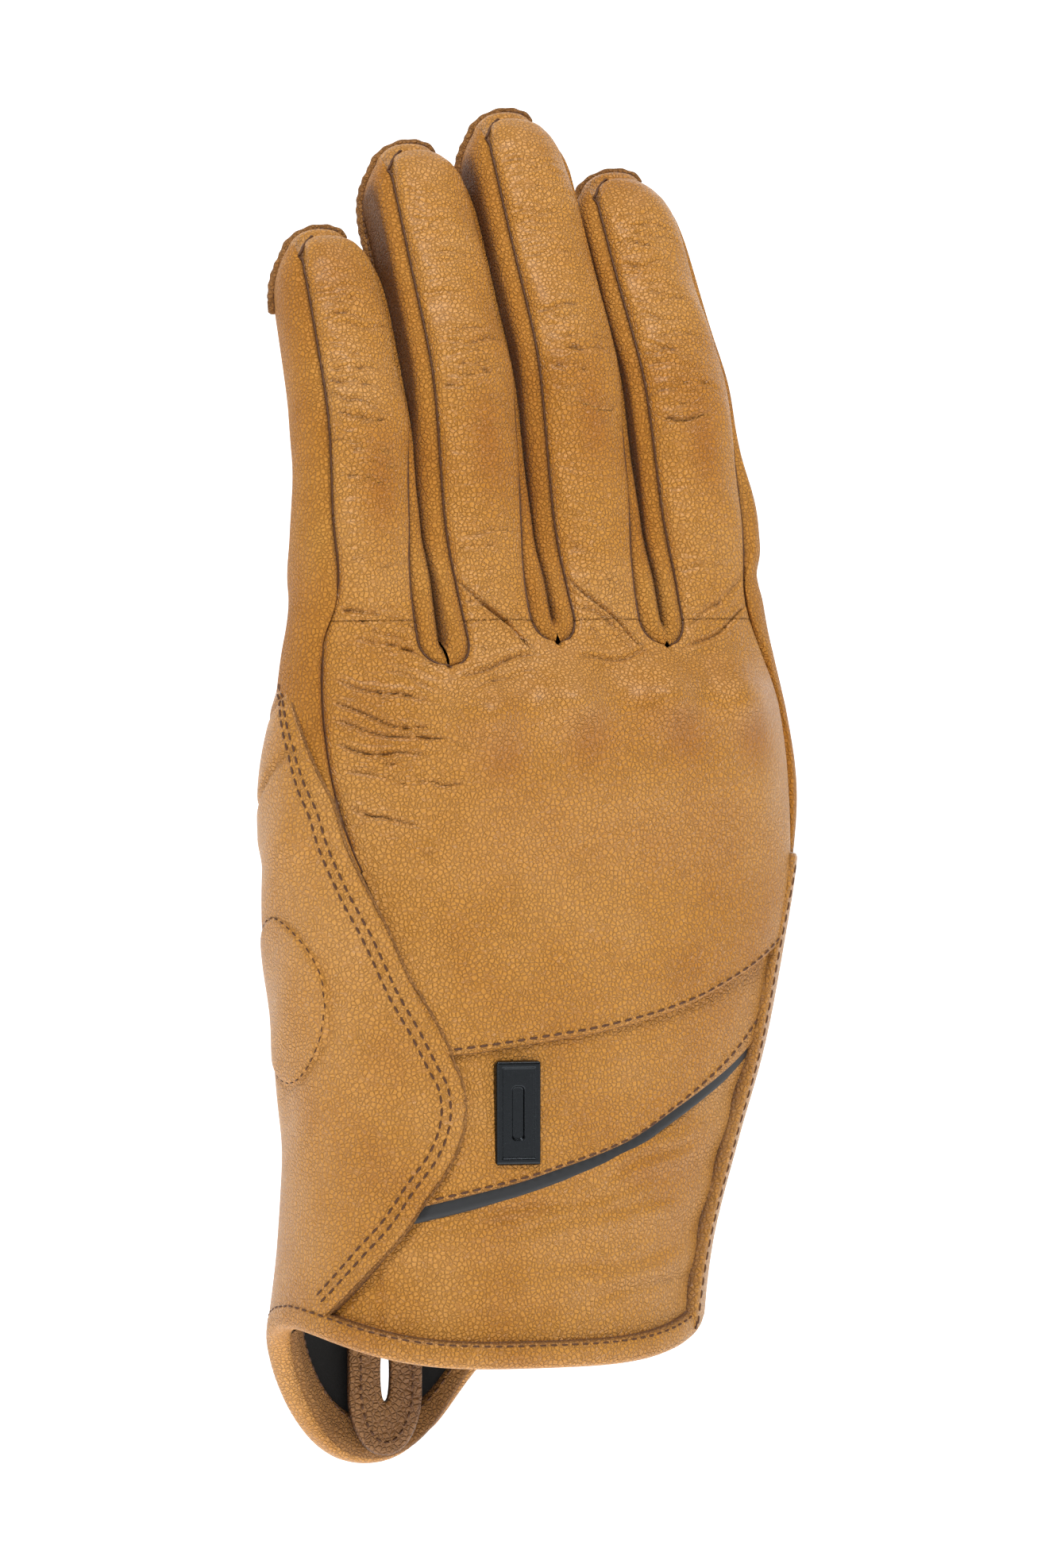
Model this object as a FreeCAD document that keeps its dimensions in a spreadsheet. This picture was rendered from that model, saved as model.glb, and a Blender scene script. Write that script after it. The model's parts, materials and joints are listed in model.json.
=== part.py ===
"""A left-hand leather driving glove with a hidden knuckle guard, in millimetres.

+Z runs along the fingers, -Y is the back of the hand and +X is the thumb side. The origin is the
centre of the cuff opening. Every wall of leather is the difference of two lofts through ellipses,
cut into panels. Each finger has two stiff segments, joined by folds of leather at its joints.
"""
import FreeCAD, Part
import Sketcher
import os
import re

doc = FreeCAD.newDocument("driving_glove")
sheet = doc.addObject("Spreadsheet::Sheet", "Dimensions")

FINGERS = ("pinky", "ring", "middle", "index")
STATIONS = ("tongue", "cuff", "wrist", "heel", "palm", "knuckles", "crotch")
BIG = 300.0          # side of a box that stands for a half-space
REACH = 30.0         # half width of a box that spans a finger or the thumb
TALL = 200.0         # height of a box that spans a finger or the thumb
NODES = []

# Driving dimensions: alias, value in mm or degrees, meaning
DRIVING = [
    ("leather", 1.2, "thickness of the leather"),
    ("lining_gap", 0.3, "air between leather and lining"),
    ("lining", 0.8, "thickness of the lining"),
    ("layer_gap", 0.3, "clearance between loose layers"),
    ("tongue_z", -26.0, "lowest station of the hand"),
    ("tongue_half_width", 43.5, ""),
    ("tongue_half_depth", 28.5, ""),
    ("tongue_x", 0.5, ""),
    ("cuff_z", 0.0, "back edge of the cuff"),
    ("cuff_half_width", 43.5, ""),
    ("cuff_half_depth", 28.5, ""),
    ("cuff_x", 0.8, ""),
    ("wrist_z", 22.0, "narrowest part"),
    ("wrist_half_width", 43.5, ""),
    ("wrist_half_depth", 27.5, ""),
    ("wrist_x", 3.6, ""),
    ("heel_z", 58.0, ""),
    ("heel_half_width", 50.0, ""),
    ("heel_half_depth", 25.0, ""),
    ("heel_x", 8.2, ""),
    ("palm_z", 95.0, ""),
    ("palm_half_width", 54.8, ""),
    ("palm_half_depth", 22.8, ""),
    ("palm_x", 10.0, ""),
    ("knuckles_z", 121.0, ""),
    ("knuckles_half_width", 54.5, ""),
    ("knuckles_half_depth", 21.5, ""),
    ("knuckles_x", 10.6, ""),
    ("crotch_z", 138.0, "top of the hand, where the fingers part"),
    ("crotch_half_width", 51.5, ""),
    ("crotch_half_depth", 19.5, ""),
    ("crotch_x", 9.6, ""),
    ("knuckle_hinge_z", 150.0, "height of the knuckle joints"),
    ("hinge_y", 4.0, "knuckle axes, palm side of the finger's middle"),
    ("lower_tilt", 10.0, "lean of the lower segments towards the palm"),
    ("upper_tilt", 28.0, "lean of the upper segments towards the palm"),
    ("finger_half_width", 10.9, "at the knuckle joint"),
    ("finger_half_depth", 10.6, ""),
    ("joint_half_width", 10.5, "at the middle joint"),
    ("joint_half_depth", 10.0, ""),
    ("tip_half_width", 9.6, "where the round tip starts"),
    ("tip_half_depth", 8.4, ""),
    ("tip_height", 9.5, "height of the round tip"),
    ("back_edge", 4.2, "distance from a finger's middle to the seams of its back"),
    ("hinge_slit", 1.2, "half of the gap between segments on the hinge line"),
    ("knuckle_palm_angle", 38.0, "half of the V on the palm side of a knuckle joint"),
    ("middle_palm_angle", 45.0, "half of the V on the palm side of a middle joint"),
    ("back_angle", 2.0, "half of the V on the back of a joint"),
    ("pinky_x", -27.4, "middle of each finger"),
    ("ring_x", -3.2, ""),
    ("middle_x", 20.4, ""),
    ("index_x", 44.6, ""),
    ("pinky_lower", 32.0, "knuckle joint to middle joint"),
    ("ring_lower", 41.0, ""),
    ("middle_lower", 45.0, ""),
    ("index_lower", 40.0, ""),
    ("pinky_upper", 35.0, "middle joint to the start of the round tip"),
    ("ring_upper", 44.0, ""),
    ("middle_upper", 46.0, ""),
    ("index_upper", 38.0, ""),
    ("thumb_x", 34.0, "where the thumb's axis leaves the palm"),
    ("thumb_y", 20.0, ""),
    ("thumb_z", 72.0, ""),
    ("thumb_tilt", 42.0, "lean of the thumb towards the palm side"),
    ("thumb_bend", 7.0, "more lean beyond the thumb's middle joint"),
    ("thumb_half_width", 13.0, ""),
    ("thumb_half_depth", 12.0, ""),
    ("thumb_joint_half_width", 11.6, ""),
    ("thumb_joint_half_depth", 10.8, ""),
    ("thumb_root", 18.0, "palm surface to the thumb's base hinge"),
    ("thumb_lower", 24.0, "base hinge to the thumb's middle joint"),
    ("thumb_upper", 26.0, "middle joint to the start of the round tip"),
    ("thumb_angle", 24.0, "half of the V at the thumb's base joint"),
    ("thumb_middle_angle", 32.0, "half of the V at the thumb's middle joint"),
    ("guard_x", 12.0, "knuckle guard bulge: an ellipsoid"),
    ("guard_y", -14.5, ""),
    ("guard_z", 113.0, ""),
    ("guard_half_width", 44.0, ""),
    ("guard_half_depth", 13.0, ""),
    ("guard_half_height", 24.0, ""),
    ("guard_shell", 1.6, "thickness of the hard guard"),
    ("band_top_x", -18.0, "a point on the band's upper edge, and its slope"),
    ("band_top_z", 62.0, ""),
    ("band_top_slope", 16.0, ""),
    ("band_bottom_x", -21.0, "a point on the band's lower edge, and its slope"),
    ("band_bottom_z", 33.5, ""),
    ("band_bottom_slope", 24.0, ""),
    ("strip_width", 2.7, "reflective strip"),
    ("side_point_x", -16.0, "point of the little-finger side panel on the back"),
    ("side_point_z", 56.0, ""),
    ("side_upper_slope", 17.4, "its two edges, from the vertical"),
    ("side_lower_slope", 26.6, ""),
    ("side_palm_x", -24.0, "its seam on the palm"),
    ("seam_strip_x", 39.5, "inner edge of the thumb-side seam strip at the wrist"),
    ("seam_strip_z", 20.0, ""),
    ("seam_strip_slope", 16.5, ""),
    ("seam_strip_top", 90.0, ""),
    ("seam_strip_palm_y", 8.0, ""),
    ("binding", 4.7, "width of the rolled cuff binding"),
    ("binding_lift", 0.8, "how far the binding stands out of the leather"),
    ("tongue_tip_x", -13.0, "lowest point of the palm-side cuff tongue"),
    ("tongue_tip_z", -23.0, ""),
    ("tongue_left_slope", 38.0, ""),
    ("tongue_right_slope", 22.2, ""),
    ("tab_width", 15.5, "pull tab"),
    ("tab_height", 26.0, ""),
    ("tab_thickness", 1.6, ""),
    ("tab_y", 21.6, ""),
    ("tab_bottom_z", -17.5, ""),
    ("slit_width", 1.6, "slit through tab, lining and tongue"),
    ("slit_height", 11.5, ""),
    ("slit_bottom_z", -11.5, ""),
    ("badge_width", 9.4, ""),
    ("badge_height", 20.6, ""),
    ("badge_thickness", 1.4, ""),
    ("badge_x", -4.9, ""),
    ("badge_y", -25.9, ""),
    ("badge_z", 49.0, ""),
    ("strap_low_z", 33.0, "wrist strap"),
    ("strap_width", 19.0, ""),
    ("strap_root_x", -8.0, "its sewn end"),
    ("strap_thickness", 1.8, ""),
    ("strap_end_y", 6.0, "its free end, round the thumb side"),
    ("patch_thickness", 0.9, "hook and loop patches"),
    ("patch_width", 20.0, "hook and loop patches, along the strap"),
    ("patch_x", 16.0, "where the hook and loop patches start"),
    ("quilt_z", 88.0, "quilted patch on the little-finger side, and its size"),
    ("quilt_y", -6.0, ""),
    ("quilt_width", 24.0, ""),
    ("quilt_height", 32.0, ""),
    ("heel_patch_radius", 17.0, "round patch on the heel of the hand"),
    ("heel_patch_y", 3.0, ""),
    ("heel_patch_z", 70.0, ""),
    ("side_reach", 30.0, "how far the side patches' cutting shapes reach into the hand"),
    ("fold_slack", 1.5, "degrees between a soft fold and the walls of its gap"),
    ("fold_clear", 0.45, "air between a soft fold and the walls, at the hinge line"),
    ("fold_inset", 0.6, "how far a fold lies inside the segments' outline"),
    ("fold_radius", 16.0, "half height of the ellipsoid that a fold is cut from"),
    ("badge_corner", 1.2, "corner radius"),
    ("tab_corner", 7.4, "corner radius"),
]

for row, (alias, value, meaning) in enumerate(DRIVING, start=1):
    sheet.set(f"A{row}", alias)
    sheet.set(f"B{row}", str(value))
    sheet.set(f"C{row}", meaning)
    sheet.setAlias(f"B{row}", alias)
doc.recompute()
ALIASES = {alias: f"Dimensions.{alias}" for alias, _, _ in DRIVING}


def cell(text):
    """An expression with each sheet alias in it written as Dimensions.alias."""
    return re.sub("[a-z_]+", lambda word: ALIASES.get(word.group(), word.group()), text)


def place(item, x="0", y="0", z="0", axis=None, angle="0"):
    """Bind an object's place, and its turn about one axis, to expressions."""
    if axis is not None:
        item.Placement.Rotation = FreeCAD.Rotation(FreeCAD.Vector(*axis), 1)
        item.setExpression("Placement.Rotation.Angle", cell(angle))
    for key, text in (("x", x), ("y", y), ("z", z)):
        item.setExpression(f"Placement.Base.{key}", cell(text))
    return item


def box(name, size, **where):
    """A box with its corner at `where`; size is three expressions."""
    item = doc.addObject("Part::Box", name)
    for key, text in zip(("Length", "Width", "Height"), size):
        item.setExpression(key, cell(text))
    return place(item, **where)


def ellipse(name, half_width, half_depth, **where):
    """A horizontal ellipse, wider than it is deep."""
    item = doc.addObject("Part::Ellipse", name)
    item.setExpression("MajorRadius", cell(half_width))
    item.setExpression("MinorRadius", cell(half_depth))
    return place(item, **where)


def loft(name, sections):
    """A closed solid through a list of ellipses."""
    item = doc.addObject("Part::Loft", name)
    item.Sections = sections
    item.Solid = True
    item.Ruled = True
    return item


def ellipsoid(name, half_width, half_depth, half_height, low="-90", **where):
    """A whole ellipsoid, or the part above the angle `low`."""
    item = doc.addObject("Part::Ellipsoid", name)
    item.setExpression("Radius1", cell(half_height))
    item.setExpression("Radius2", cell(half_width))
    item.setExpression("Radius3", cell(half_depth))
    item.Angle1 = float(low)
    return place(item, **where)


def cut(name, base, tool):
    """base without tool."""
    item = doc.addObject("Part::Cut", name)
    item.Base = base
    item.Tool = tool
    return item


def common(name, *parts):
    """What all the parts share."""
    item = doc.addObject("Part::MultiCommon", name)
    item.Shapes = list(parts)
    return item


def fuse(name, *parts):
    """The parts joined."""
    item = doc.addObject("Part::MultiFuse", name)
    item.Shapes = list(parts)
    return item


def node(item, label):
    """Name a finished sub-part."""
    item.Label = label
    NODES.append(item)
    return item


def half_space(name, x, z, slope, above=True):
    """All that lies above (or below) a line through (x, z) rising by `slope` degrees towards +X.

    The box turns about its own corner, so its other corner is moved back along the line.
    """
    shift = f"-{BIG / 2} * cos( ( {slope} ) * 1 deg )"
    rise = f"-{BIG / 2} * sin( ( {slope} ) * 1 deg )"
    drop = "0" if above else f"{BIG}"
    item = box(name, (str(BIG), str(BIG), str(BIG)),
               x=f"{x} + {shift} + {drop} * sin( ( {slope} ) * 1 deg )",
               y=f"-{BIG / 2}",
               z=f"{z} + {rise} - {drop} * cos( ( {slope} ) * 1 deg )",
               axis=(0, -1, 0), angle=slope)
    return item


def hand_loft(name, inset):
    """The hand's outline, moved in by `inset`, from the tongue to the crotch."""
    rings = [
        ellipse(f"{name}_{s}", f"{s}_half_width - ( {inset} )", f"{s}_half_depth - ( {inset} )",
                x=f"{s}_x", z=f"{s}_z")
        for s in STATIONS
    ]
    return loft(name, rings)


def guard_bulge(name, inset):
    """The knuckle guard's ellipsoid, moved in by `inset`."""
    return ellipsoid(name, f"guard_half_width - ( {inset} )", f"guard_half_depth - ( {inset} )",
                     f"guard_half_height - ( {inset} )", x="guard_x", y="guard_y", z="guard_z")


# Half-spaces and boxes that part the hand into panels
big = str(BIG)
back_half = box("back_half", (big, big, big), x=f"-{BIG / 2}", y=f"-{BIG}", z=f"-{BIG / 2}")
palm_half = box("palm_half", (big, big, big), x=f"-{BIG / 2}", y="0", z=f"-{BIG / 2}")
above_band_top = half_space("above_band_top", "band_top_x", "band_top_z", "band_top_slope")
above_band_bottom = half_space("above_band_bottom", "band_bottom_x", "band_bottom_z",
                               "band_bottom_slope")
above_strip = half_space("above_strip", "band_bottom_x", "band_bottom_z - strip_width",
                         "band_bottom_slope")
above_binding_back = half_space("above_binding_back", "0", "binding", "0")
above_cuff_back = half_space("above_cuff_back", "0", "0", "0")
tongue_left = half_space("tongue_left", "tongue_tip_x", "tongue_tip_z",
                         "180 - tongue_left_slope", above=False)
tongue_right = half_space("tongue_right", "tongue_tip_x", "tongue_tip_z", "tongue_right_slope")
tongue_left_inner = half_space("tongue_left_inner", "tongue_tip_x",
                               "tongue_tip_z + binding * 1.25", "180 - tongue_left_slope",
                               above=False)
tongue_right_inner = half_space("tongue_right_inner", "tongue_tip_x",
                                "tongue_tip_z + binding * 1.25", "tongue_right_slope")
side_upper = half_space("side_upper", "side_point_x", "side_point_z", "90 + side_upper_slope")
side_lower = half_space("side_lower", "side_point_x", "side_point_z", "90 - side_lower_slope")
seam_side = half_space("seam_side", "seam_strip_x", "seam_strip_z", "90 - seam_strip_slope",
                       above=False)
seam_box = box("seam_box", (big, "40", "seam_strip_top + 60"), x="0",
               y="seam_strip_palm_y - 40", z="-60")
palm_side_box = box("palm_side_box", (big, big, big), x=f"side_palm_x - {BIG}", y="0",
                    z=f"-{BIG / 2}")

# The leather shell of the hand, with the bulge over the knuckle guard
hand_outer = hand_loft("hand_outer", "0")
hand_inner = hand_loft("hand_inner", "leather")
bulge_outer = common("bulge_outer", guard_bulge("bulge_outer_whole", "0"), back_half)
bulge_inner = common("bulge_inner", guard_bulge("bulge_inner_whole", "leather"), back_half)
shell_outside = fuse("shell_outside", hand_outer, bulge_outer)
shell_inside = fuse("shell_inside", hand_inner, bulge_inner)
whole_shell = cut("whole_shell", shell_outside, shell_inside)

# What the palm side keeps above its tongue, and the back above its cuff edge
tongue_region = common("tongue_region", palm_half, tongue_left, tongue_right)
back_region = common("back_region", back_half, above_cuff_back)
tongue_panel_region = common("tongue_panel_region", palm_half, tongue_left_inner,
                             tongue_right_inner)
back_panel_region = common("back_panel_region", back_half, above_binding_back)
panel_region = fuse("panel_region", tongue_panel_region, back_panel_region)
cuff_region = fuse("cuff_region", tongue_region, back_region)

# Thumb and finger volumes, which the palm and the crotch are cut clear of


def tube(name, low, high, length, inset, extra_low="0"):
    """A tapered tube's volume along +Z; low and high are (half width, half depth)."""
    return loft(name, [
        ellipse(f"{name}_low", f"{low[0]} - ( {inset} )", f"{low[1]} - ( {inset} )",
                z=f"-( {extra_low} )"),
        ellipse(f"{name}_high", f"{high[0]} - ( {inset} )", f"{high[1]} - ( {inset} )",
                z=length),
    ])


def wedge(name, angle, palm, y, z, slit="hinge_slit"):
    """The V-shaped gap on one side of a hinge line at (y, z)."""
    item = doc.addObject("Part::Wedge", name)
    wide = f"{slit} + {REACH} * tan( {angle} * 1 deg )"
    at_low, at_high = (slit, wide) if palm else (wide, slit)
    item.Xmin = item.X2min = -REACH
    item.Xmax = item.X2max = REACH
    item.Ymin = 0.0 if palm else -REACH
    item.Ymax = REACH if palm else 0.0
    item.setExpression("Zmin", cell(f"-( {at_low} )"))
    item.setExpression("Zmax", cell(at_low))
    item.setExpression("Z2min", cell(f"-( {at_high} )"))
    item.setExpression("Z2max", cell(at_high))
    return place(item, y=y, z=z)


def joint_gap(name, palm_angle, y="0", z="0", back="back_angle"):
    """Both V-shaped gaps of one joint, as one tool."""
    return fuse(name, wedge(f"{name}_palm", palm_angle, True, y, z),
                wedge(f"{name}_back", back, False, y, z))


def panels(name, volume, hollow):
    """Split a segment's wall into its back, palm and two side strips (gussets).

    The seams run at back_edge behind and in front of the middle of the segment.
    """
    wall = cut(f"{name}_wall", volume, hollow)
    across, tall = str(2 * REACH), str(TALL)
    left, low = str(-REACH), str(-2 * REACH)
    back_box = box(f"{name}_back_box", (across, str(REACH), tall), x=left,
                   y=f"-{REACH} - back_edge", z=low)
    palm_box = box(f"{name}_palm_box", (across, str(REACH), tall), x=left, y="back_edge", z=low)
    side_box = box(f"{name}_side_box", (across, "2 * back_edge", tall), x=left,
                   y="-back_edge", z=low)
    return (common(f"{name}_back_wall", wall, back_box),
            common(f"{name}_palm_wall", wall, palm_box),
            common(f"{name}_sides_wall", wall, side_box))


def above_box(name, z):
    """A box over a finger's or the thumb's whole section, from the height z up."""
    across = str(2 * REACH)
    return box(name, (across, across, str(REACH)), x=str(-REACH), y=str(-REACH), z=z)


def finger_root(finger):
    """The short tube between the hand and the knuckle joint, part of the back panel's leather."""
    width = ("finger_half_width", "finger_half_depth")
    height = "knuckle_hinge_z - crotch_z"
    volume = tube(f"{finger}_root_volume", width, width, f"{height} + 6", "0")
    hollow = tube(f"{finger}_root_hollow", width, width, f"{height} + 8", "leather", "2")
    gap = joint_gap(f"{finger}_root_gap", "knuckle_palm_angle", y="hinge_y", z=height)
    above = above_box(f"{finger}_root_above", f"{height} + hinge_slit")
    ring = cut(f"{finger}_root_ring", volume, hollow)
    item = cut(f"{finger}_root", cut(f"{finger}_root_low", ring, gap), above)
    return place(item, x=f"{finger}_x", z="crotch_z")


def lower_segment(finger):
    """Back, palm and sides between the knuckle joint and the middle joint."""
    low = ("finger_half_width", "finger_half_depth")
    high = ("joint_half_width", "joint_half_depth")
    length = f"{finger}_lower"
    volume = tube(f"{finger}_lower_whole", low, high, length, "0")
    hollow = tube(f"{finger}_lower_hollow", low, high, length, "leather")
    first = joint_gap(f"{finger}_lower_gap", "knuckle_palm_angle", y="hinge_y")
    second = joint_gap(f"{finger}_lower_end", "middle_palm_angle", y="hinge_y", z=length)
    solid = cut(f"{finger}_lower_volume", cut(f"{finger}_lower_a", volume, first), second)
    names = ("lower_back", "lower_palm", "lower_sides")
    for part, label in zip(panels(f"{finger}_lower", solid, hollow), names):
        place(part, x=f"{finger}_x",
              y="hinge_y - hinge_y * cos( lower_tilt * 1 deg )",
              z="knuckle_hinge_z + hinge_y * sin( lower_tilt * 1 deg )",
              axis=(-1, 0, 0), angle="lower_tilt")
        node(part, f"{finger}_{label}")


def middle_joint(finger):
    """Expressions for the finger's middle line at the middle joint, in the glove's frame."""
    turn = "lower_tilt * 1 deg"
    y = f"hinge_y - hinge_y * cos( {turn} ) + {finger}_lower * sin( {turn} )"
    z = f"knuckle_hinge_z + hinge_y * sin( {turn} ) + {finger}_lower * cos( {turn} )"
    return y, z


def upper_segment(finger):
    """Back, palm and sides beyond the middle joint; the palm leather wraps the round tip.

    The segment turns about the hinge line, hinge_y to the palm side of the finger's middle.
    """
    low = ("joint_half_width", "joint_half_depth")
    high = ("tip_half_width", "tip_half_depth")
    length = f"{finger}_upper"
    volume = tube(f"{finger}_upper_whole", low, high, length, "0")
    hollow = tube(f"{finger}_upper_hollow", low, high, length, "leather")
    gap = joint_gap(f"{finger}_upper_gap", "middle_palm_angle", y="hinge_y")
    solid = cut(f"{finger}_upper_volume", volume, gap)
    back, palm, sides = panels(f"{finger}_upper", solid, hollow)
    cap_outer = ellipsoid(f"{finger}_cap_outer", *high, "tip_height", low="0", z=length)
    cap_inner = ellipsoid(f"{finger}_cap_inner", f"{high[0]} - leather", f"{high[1]} - leather",
                          "tip_height - leather", low="0", z=length)
    cap = cut(f"{finger}_cap", cap_outer, cap_inner)
    palm_and_tip = fuse(f"{finger}_palm_and_tip", palm, cap)
    y, z = middle_joint(finger)
    lower, upper = "lower_tilt * 1 deg", "upper_tilt * 1 deg"
    for part, label in ((back, "upper_back"), (palm_and_tip, "upper_palm"),
                        (sides, "upper_sides")):
        place(part, x=f"{finger}_x",
              y=f"{y} + hinge_y * cos( {lower} ) - hinge_y * cos( {upper} )",
              z=f"{z} - hinge_y * sin( {lower} ) + hinge_y * sin( {upper} )",
              axis=(-1, 0, 0), angle="upper_tilt")
        node(part, f"{finger}_{label}")


def fold_ring(label, size, gap_angle, first_tilt, second_tilt, x, y, z):
    """A soft fold in a joint's gap, in the hinge's own frame, clear of both segments.

    The hinge line is at the origin of that frame, and the segments leave along -Z and +Z, each
    with its own tilt. The fold fills the V between them, a little inside their walls.
    """
    outer = ellipsoid(f"{label}_outer", f"{size[0]} - fold_inset", f"{size[1]} - fold_inset",
                      "fold_radius", y="-hinge_y")
    inner = ellipsoid(f"{label}_inner", f"{size[0]} - fold_inset - leather",
                      f"{size[1]} - fold_inset - leather", "fold_radius - leather", y="-hinge_y")
    ring = cut(f"{label}_ring", outer, inner)
    half = f"( {gap_angle} - fold_slack - ( {second_tilt} - {first_tilt} ) / 2 )"
    opening = wedge(f"{label}_v", half, True, "0", "0", slit="( hinge_slit - fold_clear )")
    item = common(f"{label}_piece", ring, opening)
    return place(item, x=x, y=y, z=z, axis=(-1, 0, 0),
                 angle=f"( {first_tilt} + {second_tilt} ) / 2")


def thumb_axis_point(distance):
    """A point on the thumb's axis, `distance` from where it leaves the palm."""
    turn = "thumb_tilt * 1 deg"
    return {"x": "thumb_x", "y": f"thumb_y + ( {distance} ) * sin( {turn} )",
            "z": f"thumb_z + ( {distance} ) * cos( {turn} )"}


def thumb_placed(item, distance, tilt="thumb_tilt"):
    """Put a piece built along +Z on the thumb's axis."""
    return place(item, axis=(-1, 0, 0), angle=tilt, **thumb_axis_point(distance))


def split_two(name, solid, hollow):
    """Split a thumb segment's wall into its back and palm panels."""
    wall = cut(f"{name}_wall", solid, hollow)
    size = (str(REACH), str(2 * REACH), str(TALL))
    back_box = box(f"{name}_back_box", size, x="0", y=str(-REACH), z=str(-2 * REACH))
    palm_box = box(f"{name}_palm_box", size, x=str(-REACH), y=str(-REACH), z=str(-2 * REACH))
    return (common(f"{name}_back_wall", wall, back_box),
            common(f"{name}_palm_wall", wall, palm_box))


def side_gap(name, angle, z, slit="hinge_slit"):
    """Two V gaps at a joint whose axis runs through the thumb's middle, along Y.

    One opens towards -X, where the joint closes, and the other is a narrow slit towards +X.
    """
    item = wedge(f"{name}_v", angle, True, "0", "0")
    turned = place(item, z=z, axis=(0, 0, 1), angle="90")
    slot = box(f"{name}_slot", (str(REACH), str(2 * REACH), f"2 * {slit}"), x="0",
               y=str(-REACH), z=f"{z} - {slit}")
    return fuse(name, turned, slot)


# Thumb: a root gusset on the hand, then two segments
wide = ("thumb_half_width", "thumb_half_depth")
narrow = ("thumb_joint_half_width", "thumb_joint_half_depth")
thumb_hole = thumb_placed(tube("thumb_hole", wide, wide, "60", "-layer_gap", "0"), "0")
hand_solid = hand_loft("hand_solid", "-layer_gap")

root_whole = tube("thumb_root_whole", wide, wide, "thumb_root + 6", "0", "14")
root_hollow = tube("thumb_root_hollow", wide, wide, "thumb_root + 8", "leather", "16")
root_gap = joint_gap("thumb_root_gap", "thumb_angle", z="thumb_root", back="thumb_angle")
root_above = above_box("thumb_root_above", "thumb_root + hinge_slit")
root_ring = cut("thumb_root_ring", cut("thumb_root_tube", root_whole, root_hollow), root_gap)
root_ring = thumb_placed(cut("thumb_root_open", root_ring, root_above), "0")
node(cut("thumb_root_gusset", root_ring, hand_solid), "thumb_root_gusset")

lower_whole = tube("thumb_lower_whole", wide, narrow, "thumb_lower", "0")
lower_hollow = tube("thumb_lower_hollow", wide, narrow, "thumb_lower", "leather")
lower_gap = joint_gap("thumb_lower_gap", "thumb_angle", back="thumb_angle")
lower_end = side_gap("thumb_lower_end", "thumb_middle_angle", "thumb_lower")
lower_solid = cut("thumb_lower_volume", cut("thumb_lower_a", lower_whole, lower_gap), lower_end)
for part, label in zip(split_two("thumb_lower", lower_solid, lower_hollow), ("back", "palm")):
    node(thumb_placed(part, "thumb_root"), f"thumb_lower_{label}")

thumb_tip = ("tip_half_width", "tip_half_depth + 0.5")
upper_whole = tube("thumb_upper_whole", narrow, thumb_tip, "thumb_upper", "0")
upper_hollow = tube("thumb_upper_hollow", narrow, thumb_tip, "thumb_upper", "leather")
upper_gap = side_gap("thumb_upper_gap", "thumb_middle_angle", "0")
upper_solid = cut("thumb_upper_volume", upper_whole, upper_gap)
upper_back, upper_palm = split_two("thumb_upper", upper_solid, upper_hollow)
cap_outer = ellipsoid("thumb_cap_outer", *thumb_tip, "tip_height", low="0", z="thumb_upper")
cap_inner = ellipsoid("thumb_cap_inner", f"{thumb_tip[0]} - leather", f"{thumb_tip[1]} - leather",
                      "tip_height - leather", low="0", z="thumb_upper")
upper_palm = fuse("thumb_palm_and_tip", upper_palm, cut("thumb_cap", cap_outer, cap_inner))
for part, label in ((upper_back, "back"), (upper_palm, "palm")):
    thumb_placed(part, "thumb_root + thumb_lower", "thumb_tilt + thumb_bend")
    node(part, f"thumb_upper_{label}")

# Panels of the hand
shell = cut("shell_open", cut("shell_no_slit", whole_shell, thumb_hole),
            box("palm_slit", ("slit_width", "40", "slit_height"),
                x="tongue_tip_x - slit_width / 2", y="0", z="slit_bottom_z"))
paneled = common("paneled_shell", shell, panel_region)
side_back_region = common("side_back_region", back_half, side_upper, side_lower)
side_region = fuse("side_region", side_back_region, palm_side_box)
seam_region = common("seam_region", seam_side, seam_box)

node(common("side_palm_panel_piece", paneled, side_region), "side_palm_panel")
node(common("side_seam_piece", paneled, seam_region), "side_seam_strip")
palm_rest = cut("palm_rest", cut("palm_rest_a", palm_half, palm_side_box), seam_region)
node(common("palm_panel_piece", paneled, palm_rest), "palm_panel")
back_rest = cut("back_rest", cut("back_rest_a", back_half, side_back_region), seam_region)
hand_back_region = common("hand_back_region", back_rest, above_band_top)
node(common("hand_back_piece", paneled, hand_back_region), "hand_back_panel")
below_top = cut("below_band_top", back_rest, above_band_top)
band_region = common("band_region", below_top, above_band_bottom)
node(common("wrist_band_piece", paneled, band_region), "wrist_band")
below_band = cut("below_band", below_top, above_band_bottom)
reflective_region = common("reflective_region", below_band, above_strip)
node(common("reflective_piece", paneled, reflective_region), "reflective_strip")
cuff_back_region = cut("cuff_back_region", below_band, above_strip)
node(common("cuff_back_piece", paneled, cuff_back_region), "cuff_back_panel")

# Rolled binding along the whole cuff edge
binding_wall = cut("binding_wall", hand_loft("binding_outer", "-binding_lift"),
                   hand_loft("binding_inner", "leather + lining_gap + lining + binding_lift"))
binding_ring = common("binding_ring", binding_wall, cuff_region)
node(cut("binding_piece", binding_ring, panel_region), "cuff_binding")

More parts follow.
